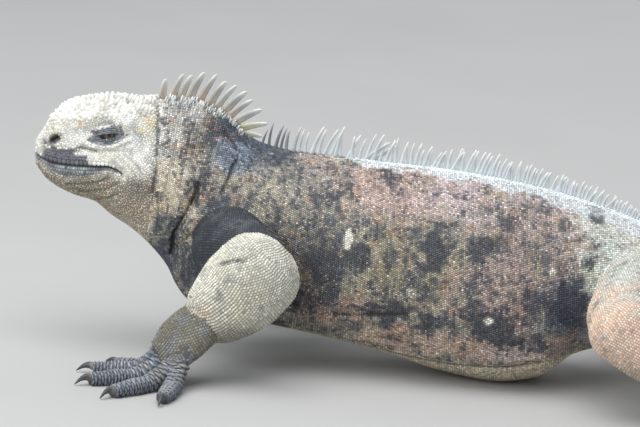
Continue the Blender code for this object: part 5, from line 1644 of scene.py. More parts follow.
@dataclass
class Coat:
    """Lays the small scales over the body and the limbs."""

    form: BodyForm
    skin: Skin
    marks: Markings
    finish: bpy.types.Material
    move_limit: float = 0.0045
    sunk_limit: float = 0.0002
    digit_plates: int = 6
    rng: np.random.Generator = field(default_factory=lambda: np.random.default_rng(SEED))

    def body_roots(
        self, start: float, end: float, pitch: tuple[float, float], spacing: tuple[float, float]
    ) -> Roots:
        """Roots in rows round a length of the body.

        Args:
            start: Where the first row lies along the body.
            end: Where the last one lies.
            pitch: The distance between rows at the start and at the end.
            spacing: The distance between scales of a row there.

        Returns:
            The roots, those inside a limb left out.
        """
        form = self.form
        rows = [start]
        while rows[-1] < end:
            share = (rows[-1] - start) / (end - start)
            rows.append(rows[-1] + pitch[0] + (pitch[1] - pitch[0]) * share)
        rows = np.array(rows)
        samples = np.linspace(math.pi, 0.0, 161)
        _, runs = form.runs(rows, samples)
        table = []
        for index, (row, run) in enumerate(zip(rows, runs)):
            share = (row - start) / (end - start)
            gap = spacing[0] + (spacing[1] - spacing[0]) * share
            along = (np.arange(int(run[-1] / gap) + 1) + 0.5 * (index % 2)) * gap
            along = along[along < run[-1]]
            left = np.interp(along, run, samples)
            # The scale on the middle line, which only every other row has, is laid once.
            right = left[1 - index % 2:]
            table += [(row, angle, gap) for angle in (*left, *(2 * math.pi - right))]
        places, angles, wide = np.array(table).T
        step = np.interp(places, (start, end), pitch)
        places = places + self.rng.normal(0, 0.05, len(places)) * step
        places = np.clip(places, 0.0, form.knots[-1])
        at, out, back = form.spots(places, angles)
        size = self.rng.uniform(0.93, 1.07, len(places))
        length, width, height = step * 1.1 * size, wide * 1.02 * size, np.minimum(step, wide) * 0.3 * size
        unwrap = laid_flat((places - start) / (end - start), angles)
        colours = self.marks.body(at, places)
        return self.settled(Roots(at, out, back, length, width, height, colours, unwrap), None)

    def tube_roots(self, part: LimbPart, arm: bool, column: int, columns: int) -> Roots:
        """Roots in rings round one tube of a limb.

        Args:
            part: The tube and the sizes of its scales.
            arm: Whether it belongs to an arm.
            column: Which strip of the unwrapped map it takes.
            columns: How many strips there are.

        Returns:
            The roots, those inside another part left out.
        """
        tube, on_digit = part.tube, part.region is Region.DIGIT
        table = []
        for index, row in enumerate(np.arange(0.0, tube.lengths[-1], part.pitch)):
            girth = tube.girth(row)
            count = self.digit_plates if on_digit else max(6, round(girth / part.spacing))
            first = 0.25 * self.digit_plates * on_digit + 0.5 * (index % 2)
            turns = (np.arange(count) + first) * 2 * math.pi / count
            table += [(row, turn, girth / count) for turn in turns]
        along, turns, wide = np.array(table).T
        along = along + self.rng.normal(0, 0.05, len(along)) * part.pitch
        at = tube.at(along, turns)
        back = tube.at(along + 5e-4, turns) - tube.at(along - 5e-4, turns)
        around = tube.at(along, turns + 0.03) - tube.at(along, turns - 0.03)
        out = unit(np.cross(around, back))
        middle = between(along, tube.lengths, tube.centre)
        inward = ((at - middle) * out).sum(axis=1) < 0
        out[inward] *= -1
        flat = np.linalg.norm(np.cross(around, back), axis=1) < 1e-13
        out[flat] = (0.0, 0.0, -1.0)
        size = self.rng.uniform(0.92, 1.08, len(at))
        unwrap = laid_flat(along, turns % (2 * math.pi))
        unwrap[:, 0] = (column + 0.03 + 0.94 * along / tube.lengths[-1]) / columns
        height, length = (0.42, 0.88) if on_digit else (0.34, 1.1)
        sizes = (part.pitch * length * size, wide * 1.02 * size, part.pitch * height * size)
        roots = Roots(at, out, unit(back), *sizes, self.marks.limb(at, part.region, arm, out), unwrap)
        return self.settled(roots, part)

    def settled(self, roots: Roots, own: LimbPart | None) -> Roots:
        """Leaves out what lies inside another part, and sets the rest on the smoothed skin near joins.

        Args:
            roots: The roots.
            own: The part that they belong to, or None for the body.

        Returns:
            The roots that are left.
        """
        keep = np.ones(len(roots.at), dtype=bool)
        near = ~keep
        others = [] if own is None else [self.skin.body_surface]
        others += [surface for key, surface in self.skin.part_surfaces.items() if key != id(own)]
        for surface in others:
            depth = surface.depths(roots.at, surface.join)
            keep &= depth > self.sunk_limit
            near |= depth < surface.join
        for index in np.flatnonzero(keep & near):
            hit, normal, _, distance = self.skin.tree.find_nearest(Vector(roots.at[index]))
            keep[index] = distance <= self.move_limit
            if keep[index]:
                roots.at[index] = hit
                roots.out[index] = unit(0.5 * roots.out[index] + np.array(normal))
        return roots.pick(keep)

    def add(
        self, name: str, roots: Roots, shape: ScaleShape, slot: str, seed: int, stray: float = 0.22
    ) -> None:
        """Puts one mesh of scales in the scene, whose tones stray from each other.

        Args:
            name: The piece's name.
            roots: Where its scales grow.
            shape: Their shape.
            slot: The record's material slot.
            seed: Picks their small turns and tints.
            stray: How far their tones stray.
        """
        fleck = self.rng.uniform(0, 1, len(roots.at))
        tone = np.exp(self.rng.normal(0, stray, len(roots.at)))
        tone = tone * np.select([fleck < 0.07, fleck > 0.9], [1 + 2 * stray, 1 - 2 * stray], 1.0)
        roots.colour = roots.colour * tone[:, None]
        add_piece(name, scale_mesh(name, roots, shape, seed), self.finish, slot)

    def dress_body(self) -> None:
        """The scales of neck, trunk and tail."""
        place = self.form.place
        nape, shoulder, vent, laid = place("nape"), place("neck_4"), place("vent"), place("tail_laid")
        even = ((0.00155, 0.00155), (0.0016, 0.0016))
        lengths = [("neck_scales", nape + 0.0021, shoulder, (0.0015, 0.00155), (0.0015, 0.0016), 1)]
        cuts = np.linspace(shoulder, vent, 4)
        for number, (start, end) in enumerate(zip(cuts, cuts[1:]), start=1):
            lengths.append((f"trunk_scales_{number}", start, end, *even, 1 + number))
        lengths.append(("tail_scales_1", vent, laid, (0.00165, 0.0024), (0.0017, 0.0021), 6))
        lengths.append(("tail_scales_2", laid, self.form.knots[-1], (0.0024, 0.0015), (0.0021, 0.001), 7))
        for name, start, end, pitch, spacing, seed in lengths:
            slot = f"{name.split('_')[0]}_skin"
            self.add(name, self.body_roots(start, end, pitch, spacing), Shapes.KEELED, slot, SEED + seed)

    def dress_limb(self, limb: LimbForm, seed: int) -> None:
        """The scales of one limb.

        Args:
            limb: The limb, laid out.
            seed: Picks the small turns and tints of its scales.
        """
        arm, word = limb.is_arm, limb.side.word
        slot = "arm_skin" if arm else "leg_skin"
        small, rings = [], []
        for index, part in enumerate(limb.parts):
            group = rings if part.region is Region.DIGIT else small
            group.append(self.tube_roots(part, arm, index, len(limb.parts)))
        name, digits = ("arm", "finger") if arm else ("leg", "toe")
        self.add(f"{name}_scales_{word}", Roots.joined(small), Shapes.KEELED, slot, seed, 0.12)
        name = f"{digits}_scales_{word}"
        self.add(name, Roots.joined(rings), Shapes.RING_PLATE, "foot_skin", seed + 100, 0.07)


@dataclass
class SideView:
    """Finds points of the skin by where they lie in the side view."""

    form: BodyForm
    skin: Skin
    far: float = 0.2

    def point(self, x: float, z: float, side: Side) -> tuple[Vector, Vector]:
        """The point of the skin at this x and z on one side, and its outward normal."""
        start = Vector((x, side.value * self.far, z))
        return self.skin.tree.ray_cast(start, Vector((0.0, -side.value, 0.0)))[:2]

    def unwrap(self, points: Array) -> Array:
        """Where points of the head and neck lie on the body's surface laid flat."""
        places = np.linspace(0.0, self.form.place("shoulder"), 400)
        middle = (self.form.curves["top_x"](places) + self.form.curves["low_x"](places)) / 2
        place = np.interp(points[:, 0], middle, places)
        angle = self.form.angle_of_height(place, points[:, 2])
        return laid_flat(place / places[-1], np.where(points[:, 1] > 0, 2 * math.pi - angle, angle))


@dataclass
class HeadCoat:
    """The scales of the head: cones and scutes on the crown, granules below and plates along the lips."""

    coat: Coat
    view: SideView
    tries: int = 90000
    close: float = 0.86  # how near two scales may stand, as a share of their sizes together
    cell: float = 0.0022
    crown_sizes: Line = (
        (-0.335, 0.003), (-0.322, 0.004), (-0.303, 0.0037), (-0.28, 0.0032), (-0.25, 0.0025),
    )
    low_sizes: Line = ((-0.335, 0.0022), (-0.315, 0.0018), (-0.29, 0.0015), (-0.245, 0.0016))
    upper_talls: Line = (
        (-0.329, 0.0028), (-0.322, 0.0035), (-0.297, 0.0036), (-0.2945, 0.0034), (-0.2745, 0.0024),
    )
    upper_wides: Line = ((-0.329, 0.0024), (-0.32, 0.0031), (-0.295, 0.0033), (-0.2745, 0.0026))
    lower_talls: Line = ((-0.3305, 0.0018), (-0.322, 0.0022), (-0.29, 0.0022), (-0.2765, 0.0014))
    lower_step: float = 0.00185
    eye: Blotch = Blotch(-0.2822, 0.1557, 0.0121, 0.007)
    nostril: Blotch = Blotch(-0.3197, 0.1491, 0.0045, 0.0036)
    nostril_beads: int = 13
    rng: np.random.Generator = field(default_factory=lambda: np.random.default_rng(SEED + 50))

    def crown_share(self, points: Array) -> Array:
        """How much points lie on the crown, with its large scutes."""
        return ramp(points[:, 2] - height_on(CROWN_EDGE, points[:, 0]), -0.0015, 0.002)

    def sizes(self, points: Array) -> Array:
        """The size of the scale that grows at each point, or 0 where other pieces lie."""
        x, y, z = points.T
        low = height_on(self.low_sizes, x)
        size = low + (height_on(self.crown_sizes, x) - low) * self.crown_share(points)
        size *= self.rng.uniform(0.84, 1.14, len(points))
        above = z - height_on(MOUTH_LINE, x)
        plates = (above > -0.0008) & (above < 0.0062) & (x < -0.295)
        plates |= (above > -0.0008) & (above < 0.0044) & (x < -0.2735)
        plates |= (above < 0) & (above > -0.0045) & (x < -0.276)
        hole = way_out(self.nostril, x, z) < 1
        eye = way_out(self.eye, x, z - EYE_SLANT * (x - self.eye.x)) < 1
        closed = (plates | hole) & (np.abs(y) > 0.0085) | eye & (np.abs(y) > 0.015)
        groove = distance_to_line(x, z, MOUTH_LINE) < 0.0009
        return np.where(closed | groove, 0.0, size)

    def scattered(self, start: float, end: float) -> tuple[Array, Array, Array]:
        """Places for scales of many sizes that do not crowd each other.

        Args:
            start: Where the scales begin along the body.
            end: Where they end.

        Returns:
            Their places along the body, their angles round it and their sizes.
        """
        places = self.rng.uniform(start, end, self.tries)
        angles = self.rng.uniform(0, 2 * math.pi, self.tries)
        points = self.coat.form.skin(places, angles[:, None])[:, 0]
        sizes = self.sizes(points)
        order = np.argsort(-sizes + self.rng.normal(0, 0.0004, len(sizes)))
        grid: dict[tuple[int, ...], list[int]] = {}
        rows, size_list, widest = points.tolist(), sizes.tolist(), sizes.max()
        cells = np.floor(points / self.cell).astype(int).tolist()

        def is_clear(index: int) -> bool:
            """Whether no kept scale stands too near this one."""
            x, y, z = rows[index]
            own = size_list[index]
            reach = math.ceil(self.close * (own + widest) / 2 / self.cell) if own > 0.002 else 1
            spans = (range(cell - reach, cell + reach + 1) for cell in cells[index])
            for other in (other for cell in product(*spans) for other in grid.get(cell, ())):
                ox, oy, oz = rows[other]
                gap = self.close * (own + size_list[other]) / 2
                if (x - ox) ** 2 + (y - oy) ** 2 + (z - oz) ** 2 < gap * gap:
                    return False
            return True

        kept = []
        for index in order[sizes[order] > 0].tolist():
            if is_clear(index):
                kept.append(index)
                grid.setdefault(tuple(cells[index]), []).append(index)
        return places[kept], angles[kept], sizes[kept]

    def build(self) -> None:
        """Dresses the head."""
        form, marks, add = self.coat.form, self.coat.marks, self.coat.add
        end = form.place("nape") + 0.0015
        places, angles, sizes = self.scattered(0.0004, end)
        at, out, back = form.spots(places, angles)
        crown = self.crown_share(at)
        middle = ramp(np.abs(at[:, 1]), 0.017, 0.008)
        tall = 0.19 + crown * (0.34 + 0.25 * middle * ramp(at[:, 0], -0.305, -0.28))
        around = (sizes * 1.04, sizes * 1.02, sizes * tall)
        roots = Roots(at, out, back, *around, marks.body(at, places), laid_flat(places / end, angles))
        big = crown * (sizes > 0.0019) > 0.5
        low = ~big & (at[:, 2] < height_on(JAW_LINE, at[:, 0]) - 0.004)
        add("head_scutes", roots.pick(big), Shapes.SCUTE, "head_skin", SEED + 51, 0.06)
        add("head_granules", roots.pick(~big & ~low), Shapes.BEAD, "head_skin", SEED + 52, 0.09)
        add("chin_granules", roots.pick(low), Shapes.PEBBLE, "head_skin", SEED + 57, 0.2)
        self.build_lips()
        self.build_nostril_rims()

    def side_roots(self, rows: list[tuple[float, float, float, float, float]]) -> Roots:
        """Roots on both sides of the head, each given as x, z, length, width and height."""
        table = []
        for side in Side:
            for x, z, length, width, height in rows:
                hit, normal = self.view.point(x, z, side)
                if hit is not None:
                    table.append((*hit, *normal, length, width, height))
        columns = np.array(table)
        at, out = columns[:, :3], columns[:, 3:6]
        way = plain((1.0, 0.0, 0.02), len(at))
        back = unit(way - out * (way * out).sum(axis=1, keepdims=True))
        return Roots(at, out, back, *columns[:, 6:].T, self.coat.marks.head(at), self.view.unwrap(at))

    def build_lips(self) -> None:
        """Plates along both lips, tall and square in front and smaller towards the corner."""
        upper, lower = [], []
        x, end = self.upper_talls[0][0], self.upper_talls[-1][0]
        while x < end:
            tall = height_on(self.upper_talls, x)
            mouth = height_on(MOUTH_LINE, x)
            wide = height_on(self.upper_wides, x) * self.rng.uniform(0.86, 1.12)
            upper.append((x, mouth + 0.0007 + tall / 2, wide, tall, 0.0006))
            if -0.3255 < x < -0.296:
                for beside in (x - 0.22 * wide, x + 0.3 * wide):
                    second = 0.0021 * self.rng.uniform(0.85, 1.15)
                    upper.append((beside, mouth + tall + 0.0017, wide * 0.54, second, 0.0005))
                    upper.append((beside + 0.0006, mouth + tall + 0.0034, wide * 0.5, 0.0015, 0.0004))
            x += wide * 0.95
        x, end = self.lower_talls[0][0], self.lower_talls[-1][0]
        while x < end:
            tall = height_on(self.lower_talls, x)
            mouth = height_on(MOUTH_LINE, x)
            lower.append((x, mouth - 0.0007 - tall / 2, 0.002, tall, 0.0004))
            lower.append((x + 0.0009, mouth - 0.0009 - tall * 1.5, 0.0019, tall * 0.9, 0.0004))
            x += self.lower_step
        for name, rows, seed in (("upper_lip_plates", upper, 53), ("lower_lip_plates", lower, 54)):
            self.coat.add(name, self.side_roots(rows), Shapes.LIP_PLATE, "head_skin", SEED + seed, 0.12)

    def build_nostril_rims(self) -> None:
        """A ring of pale beads round each nostril."""
        rows = []
        for turn in np.arange(self.nostril_beads) * 2 * math.pi / self.nostril_beads:
            x = self.nostril.x + math.cos(turn) * self.nostril.half_length * 1.1
            z = self.nostril.z + math.sin(turn) * self.nostril.half_height * 1.14
            rows.append((x, z, 0.0022, 0.002, 0.001))
        roots = self.side_roots(rows)
        roots.colour = blend(roots.colour, Palette.CREAM_WHITE, ramp(roots.at[:, 2], 0.148, 0.1515) * 0.45)
        self.coat.add("nostril_rims", roots, Shapes.BEAD, "head_skin", SEED + 55, 0.08)


@dataclass
class Eyes:
    """The eyeballs and the wrinkled lids over them."""

    coat: Coat
    view: SideView
    lid_radius: float = 0.0098
    corner: tuple[float, float] = (0.0088, 0.0122)  # from the eye's middle to the ends of slit and lids
    opening: tuple[float, float] = (0.0021, 0.0019)  # from the slit's line to the upper and the lower lid
    reach: tuple[float, float] = (0.0078, 0.0086)  # of the upper and the lower lid
    tilt: float = 0.2
    soft: float = 0.0011
    folds: float = 4.5
    fold_height: float = 0.00028
    iris: float = 0.0021
    pupil: float = 0.0012
    bead: float = 0.00095

    def build(self, eye_finish: bpy.types.Material) -> None:
        """Builds both eyes.

        Args:
            eye_finish: The wet material of the eyeballs.
        """
        for side in Side:
            low, high = (np.array(corner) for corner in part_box(f"eye_{side.word}"))
            middle, radius = (low + high) / 2, float((high - low).min() / 2)
            self.build_ball(side, middle, radius, eye_finish)
            self.build_lids(side, middle)

    def build_ball(self, side: Side, middle: Array, radius: float, finish: bpy.types.Material) -> None:
        """An eyeball with a dark iris round a small pupil."""
        bm = bmesh.new()
        bmesh.ops.create_uvsphere(bm, u_segments=64, v_segments=48, radius=radius)
        bmesh.ops.rotate(bm, cent=(0, 0, 0), matrix=Matrix.Rotation(math.pi / 2, 3, "X"), verts=bm.verts)
        bmesh.ops.translate(bm, vec=middle, verts=bm.verts)
        mesh = mesh_from(f"eyeball_{side.word}", bm)
        points = vertex_rows(mesh)
        gaze = unit(np.array([0.06, side.value, 0.05]))
        away = np.arccos(np.clip(unit(points - middle) @ gaze, -1, 1)) * radius
        rim = np.exp(-(((away - self.iris) / 0.0005) ** 2)) * 0.7 + 0.4 * noise(points, 0.0006, 61)
        colours = layered(
            plain(Palette.IRIS, len(points)),
            (Palette.IRIS_RIM, rim),
            (Palette.EYE_DARK, 1 - ramp(away, self.pupil, self.pupil + 0.0003)),
            (Palette.EYE_DARK, ramp(away, 2 * self.iris - 0.0008, 2 * self.iris) * 0.85),
        )
        paint(mesh, colours)
        piece = add_piece(f"eyeball_{side.word}", mesh, finish, "eye")
        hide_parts(f"eye_{side.word}")

    def lid_point(self, x: float, z: float, side: Side, middle: Array, lift: float, sink: float) -> Array:
        """A point of a lid: on a ball over the eye, running out into the skin round it."""
        hit, _ = self.view.point(x, z, side)
        out = self.lid_radius + lift
        left = out**2 - (x - middle[0]) ** 2 - (z - middle[2]) ** 2
        ball = side.value * middle[1] + math.sqrt(left) if left > 0 else -1.0
        flat = side.value * hit.y - sink + lift * 0.6
        near = max(0.0, self.soft - abs(ball - flat)) / self.soft
        return np.array([x, side.value * (max(ball, flat) + near * near * self.soft / 4), z])

    def build_lids(self, side: Side, middle: Array) -> None:
        """Both lids of one eye, each with soft folds that follow the slit, and beads along their edges."""
        beads = []
        steps = np.concatenate([[-0.1, -0.05], np.linspace(0, 1, 34)])
        for word, sign, gap, reach in zip(("upper", "lower"), (1.0, -1.0), self.opening, self.reach):
            rows, folds = [], []
            for step in steps:
                v = max(step, 0.0)
                row = []
                for s in np.linspace(0, 1, 45):
                    bend, run = math.sin(math.pi * s), -math.cos(math.pi * s)
                    dx = (self.corner[0] + (self.corner[1] - self.corner[0]) * v) * run
                    dz = sign * (gap + (reach - gap) * v) * bend**0.85
                    fold = math.cos(v * self.folds * 2 * math.pi + 0.6 * math.sin(5 * s + sign)) * bend
                    fold *= min(1.0, v * 8) * (1 - v) ** 0.5
                    lift = self.fold_height * fold if step >= 0 else -0.0012 * step / steps[0]
                    x, z = middle[0] - 0.0004 + dx, middle[2] - 0.0002 + dz + self.tilt * dx
                    row.append(self.lid_point(x, z, side, middle, lift, 0.0006 * ramp(v, 0.8, 1.0)))
                    folds.append((v, fold))
                rows.append(row)
            self.add_lid(f"{word}_lid_{side.word}", rows, np.array(folds), side.value * sign < 0)
            beads += rows[3][3:-3:2]
        self.add_rim(side, middle, np.array(beads))

    def add_lid(self, name: str, rows: list[list[Array]], folds: Array, flip: bool) -> None:
        """Puts one lid in the scene, dark, with painted highlights on the crests of its folds and painted
        shade at the slit.

        Args:
            name: The piece's name.
            rows: Its points, from the slit outwards.
            folds: How far out each point lies, and how high its fold stands.
            flip: Whether the rows run so that the faces have to be turned.
        """
        bm = bmesh.new()
        grid = [[bm.verts.new(point) for point in row] for row in rows]
        for near, far in zip(grid, grid[1:]):
            for corners in zip(near, near[1:], far[1:], far):
                bm.faces.new(corners if flip else corners[::-1])
        mesh = mesh_from(name, bm)
        points = vertex_rows(mesh)
        v, fold = folds.T
        colours = layered(
            plain(Palette.LID, len(points)),
            # Painted highlight on the fold crests.
            (Palette.LID_FOLD, ramp(fold + 1.2 * noise(points, 0.0012, 63), 0.1, 0.9) * 0.75),
            # Painted shade at the slit between the lids.
            (Palette.GROOVE, 1 - ramp(v, 0.0, 0.05)),
            (self.coat.marks.head(points), ramp(v + 0.8 * noise(points, 0.0016, 62), 0.66, 0.95)),
        )
        paint(mesh, colours)
        add_piece(name, mesh, self.coat.finish, "head_skin")

    def add_rim(self, side: Side, middle: Array, at: Array) -> None:
        """A row of small beads along the edge of both lids."""
        count = len(at)
        size = np.full(count, self.bead)
        way, colours = plain((1.0, 0.0, 0.2), count), plain(Palette.LID_RIM, count)
        roots = Roots(at, unit(at - middle), way, size, size, size * 0.45, colours, self.view.unwrap(at))
        self.coat.add(f"lid_rims_{side.word}", roots, Shapes.BEAD, "head_skin", SEED + 56, 0.3)


class NapeSpine(NamedTuple):
    """One of the long spines of the nape, with its lean back from upright in degrees."""

    x: float
    height: float
    lean: float


NAPE_SPINES = (
    NapeSpine(-0.2463, 0.0138, 6),
    NapeSpine(-0.2395, 0.0195, 19),
    NapeSpine(-0.2338, 0.0188, 18),
    NapeSpine(-0.2275, 0.0228, 21),
    NapeSpine(-0.22, 0.024, 23),
    NapeSpine(-0.213, 0.0214, 29),
    NapeSpine(-0.208, 0.0225, 36),
    NapeSpine(-0.203, 0.0232, 41),
    NapeSpine(-0.1988, 0.0212, 46),
    NapeSpine(-0.1945, 0.0218, 56),
    NapeSpine(-0.1905, 0.02, 72),
    NapeSpine(-0.1868, 0.0122, 90),
)
BACK_SPINE_HEIGHTS = (
    (-0.172, 0.015), (-0.165, 0.018), (-0.13, 0.0212), (-0.09, 0.0203), (-0.065, 0.0165),
    (-0.045, 0.014), (-0.02, 0.0175), (0.0, 0.0155), (0.02, 0.014), (0.04, 0.0145), (0.06, 0.012),
    (0.08, 0.0105), (0.1, 0.008), (0.13, 0.0082), (0.16, 0.0092), (0.26, 0.0092), (0.4, 0.0075),
    (0.56, 0.0056), (0.7, 0.0036), (0.79, 0.0016),
)
BACK_SPINE_STEPS = (
    (-0.172, 0.0047), (-0.085, 0.0042), (-0.065, 0.0029), (0.09, 0.0021), (0.2, 0.0031), (0.79, 0.0024),
)
BACK_SPINE_GIRTHS = ((-0.172, 0.64), (-0.1, 0.7), (-0.06, 0.84), (0.08, 0.8), (0.14, 0.9), (0.79, 1.0))
BACK_SPINE_LEANS = ((-0.172, 2.0), (-0.1, 8.0), (0.05, 14.0), (0.12, 30.0), (0.3, 38.0), (0.79, 46.0))


@dataclass
class Spine:
    """A flat, blunt horny spine that curves back, rooted in the crest."""

    root: Array
    along: Array
    height: float
    lean: float
    length: float
    thick: float
    foot: Colour
    middle: Colour
    tip: Colour
    unwrap: tuple[float, float]
    hollow: float = 0.62  # how much darker its flat sides are than its edges


@dataclass
class Crest:
    """The spines along the nape, the back and the tail, and the pale ridge that they stand on."""

    coat: Coat
    finish: bpy.types.Material
    rows: tuple[tuple[str, float, float], ...] = (
        ("back_spines", -0.172, 0.112), ("tail_spines_1", 0.115, 0.42), ("tail_spines_2", 0.4235, 0.788),
    )
    levels: tuple[float, ...] = (0.0, 0.1, 0.24, 0.4, 0.56, 0.72, 0.85, 0.94, 0.985)
    sides: int = 8
    sunk: float = 0.0022
    curl: float = math.radians(18)
    slim: float = 0.56
    slim_power: float = 1.5
    blunt_from: float = 0.86
    ridge_rows: tuple[float, ...] = (0.0017, 0.004, 0.0062)
    ridge_step: float = 0.0024
    ridge_widths: Line = ((-0.15, 0.4), (-0.08, 1.4), (-0.02, 2.6), (0.1, 2.6), (0.16, 0.6))
    cones: int = 300
    cone_span: tuple[float, float] = (-0.244, -0.186)
    cone_spread: float = 0.34
    rng: np.random.Generator = field(default_factory=lambda: np.random.default_rng(SEED + 70))

    def spine(
        self, x: float, height: float, lean: float, share: float, colours: tuple[Colour, ...]
    ) -> Spine:
        """Plants one spine where the crest has this x.

        Args:
            x: Where it stands.
            height: How tall it is.
            lean: How far it leans back from upright, in degrees.
            share: How far along its row it stands, from 0 to 1.
            colours: Of its foot, its middle and its tip.

        Returns:
            The spine.
        """
        place = self.coat.form.place_of_top(x)
        at = self.coat.form.skin(np.array([place, place + 0.001]), np.array([math.pi]))[:, 0]
        root = at[0] + np.array([0.0, self.rng.normal(0, 0.0003), 0.0])
        length = (0.0019 + 0.105 * height) * self.rng.uniform(0.9, 1.15)
        thick = 0.0011 + 0.03 * height
        unwrap = (0.02 + 0.96 * share, 0.5)
        return Spine(root, unit(at[1] - at[0]), height, math.radians(lean), length, thick, *colours, unwrap)

    def mesh(self, name: str, spines: list[Spine]) -> bpy.types.Mesh:
        """One mesh of many spines, with their colours and the OFBake map."""
        turns = np.arange(self.sides) * 2 * math.pi / self.sides
        cosine, sine = np.cos(turns)[:, None], np.sin(turns)[:, None]
        upright = np.array([0.0, 0.0, 1.0])
        places, colours, patches = [], [], []
        for spine in spines:
            forth = unit(np.array([*spine.along[:2], 0.0]))
            across = np.array([-forth[1], forth[0], 0.0])
            foot, middle, tip, unwrap = map(np.array, (spine.foot, spine.middle, spine.tip, spine.unwrap))
            reach = spine.height + self.sunk
            centre = spine.root - upright * self.sunk * 0.9
            last = 0.0
            for level in self.levels:
                lean = spine.lean + self.curl * (level - 0.45)
                way = math.sin(lean) * forth + math.cos(lean) * upright
                centre = centre + way * reach * (level - last)
                last = level
                fore = math.cos(lean) * forth - math.sin(lean) * upright
                blunt = max(0.0, (level - self.blunt_from) / (1 - self.blunt_from))
                size = (1 - self.slim * level**self.slim_power) * math.sqrt(1 - blunt**2.2)
                flare = 1 + 0.35 * (1 - min(1.0, level / 0.2))
                wide = cosine * fore * spine.length * 0.5 * size * flare
                thin = sine * across * spine.thick * 0.5 * (size * 0.5 + 0.5) * flare
                places.append(centre + wide + thin)
                tone = foot * (1 - level) ** 2 + middle * (1 - (1 - level) ** 2)
                tone = tone + (tip - tone) * ramp(level, 0.62, 0.95)
                shade = (1.12 - spine.hollow * sine**2) * (0.72 + 0.28 * ramp(level, 0.0, 0.25))
                colours.append(tone * shade)
                patch = np.hstack([cosine, sine]) * UNWRAP_PATCH * 0.25 * size
                patches.append(unwrap + patch + np.array([0.0, (level - 0.5) * UNWRAP_PATCH]))
            places.append((centre + way * reach * (1 - last))[None])
            colours.append(tip[None])
            patches.append((unwrap + np.array([0.0, 0.5 * UNWRAP_PATCH]))[None])
        places = np.concatenate(places).reshape(len(spines), -1, 3)
        faces = np.array(ring_faces(self.sides, len(self.levels)))
        return joined_mesh(name, places, faces, np.concatenate(colours), np.concatenate(patches))

    def build(self) -> None:
        """Plants all spines and the ridge scales."""
        rng = self.rng
        nape = []
        for index, (x, height, lean) in enumerate(NAPE_SPINES):
            warm = 1 - index / (len(NAPE_SPINES) - 1)
            middle = np.array(Palette.SPINE) * (0.62 + 0.25 * rng.random())
            middle = tuple(middle + np.array(Palette.SPINE_WARMTH) * warm)
            foot = Palette.SPINE_ORANGE if index in (0, 1, 4, 8) else Palette.SPINE_FOOT
            if index >= len(NAPE_SPINES) - 2:
                foot, middle = Palette.SPINE_MOSS, Palette.CREAM
            colours = (foot, middle, Palette.NAPE_TIP)
            nape.append(self.spine(x, height, lean + rng.normal(0, 1.5), index / 12, colours))
            nape[-1].length *= 1.9 if index == 0 else 1.42
        add_piece("nape_spines", self.mesh("nape_spines", nape), self.finish, "neck_skin")
        for name, start, end in self.rows:
            spines = self.row(start, end)
            if name == "back_spines":
                spines += self.laid_back()
            slot = "trunk_skin" if name.startswith("back") else "tail_skin"
            add_piece(name, self.mesh(name, spines), self.finish, slot)
        self.build_ridge()
        self.build_nape_cones()

    def row(self, start: float, end: float) -> list[Spine]:
        """The spines of a stretch of back or tail, which lean together in clumps.

        Args:
            start: The x of the first one.
            end: Where the row stops.

        Returns:
            The spines.
        """
        rng, spines, x = self.rng, [], start
        while x < end:
            height = height_on(BACK_SPINE_HEIGHTS, x) * rng.uniform(0.74, 1.12)
            clump = 10.0 * math.sin(x * 2 * math.pi / 0.019 + 2.0 * math.sin(x * 170))
            lean = height_on(BACK_SPINE_LEANS, x) + clump + rng.normal(0, 5.0)
            dark = ramp(x, -0.142, -0.16) * 0.85 + ramp(x, 0.1, 0.3) * 0.55
            shades = np.array([dark, dark + rng.normal(0, 0.08), dark * 0.6])
            pale = np.array([Palette.RIDGE, Palette.SPINE, Palette.SPINE_TIP])
            colours = blend(pale, Palette.SPINE_DARK, shades)
            spines.append(self.spine(x, height, lean, (x - start) / (end - start), tuple(colours)))
            spines[-1].length *= height_on(BACK_SPINE_GIRTHS, x)
            spines[-1].hollow = 0.36
            x += height_on(BACK_SPINE_STEPS, x) * rng.uniform(0.8, 1.2)
        return spines

    def laid_back(self) -> list[Spine]:
        """The few spines of the back that lean far back over their neighbours."""
        colours = (Palette.RIDGE, Palette.SPINE, Palette.SPINE_TIP)
        return [self.spine(x, 0.0225, lean, 0.5, colours) for x, lean in ((-0.0985, 47.0), (-0.095, 54.0))]

    def build_ridge(self) -> None:
        """Rows of larger pale scales under the spines of the back."""
        form = self.coat.form
        start, end = form.place_of_top(-0.15), form.place_of_top(0.16)
        table = []
        samples = np.linspace(math.pi, math.pi * 0.6, 60)
        for number, reach in enumerate(self.ridge_rows):
            rows = np.arange(start, end, self.ridge_step) + self.ridge_step * 0.5 * (number % 2)
            rings, runs = form.runs(rows, samples)
            for row, run, ring in zip(rows, runs, rings):
                if number > height_on(self.ridge_widths, ring[0, 0]):
                    continue
                angle = np.interp(reach, run, samples)
                for turned in (angle, 2 * math.pi - angle):
                    place = row + self.rng.normal(0, 0.00015)
                    size = self.ridge_step * (1.06 - 0.05 * number) * self.rng.uniform(0.9, 1.1)
                    table.append((place, turned, size))
        places, angles, sizes = np.array(table).T
        at, out, back = form.spots(places, angles)
        rear = ramp(at[:, 0], -0.125, -0.06)
        colours = blend(self.coat.marks.body(at, places), Palette.RIDGE, rear * 0.72)
        unwrap = laid_flat((places - start) / (end - start), angles)
        roots = Roots(at, out, back, sizes, sizes, sizes * 0.36, colours, unwrap)
        self.coat.add("ridge_scales", roots, Shapes.BEAD, "trunk_skin", SEED + 71, 0.1)

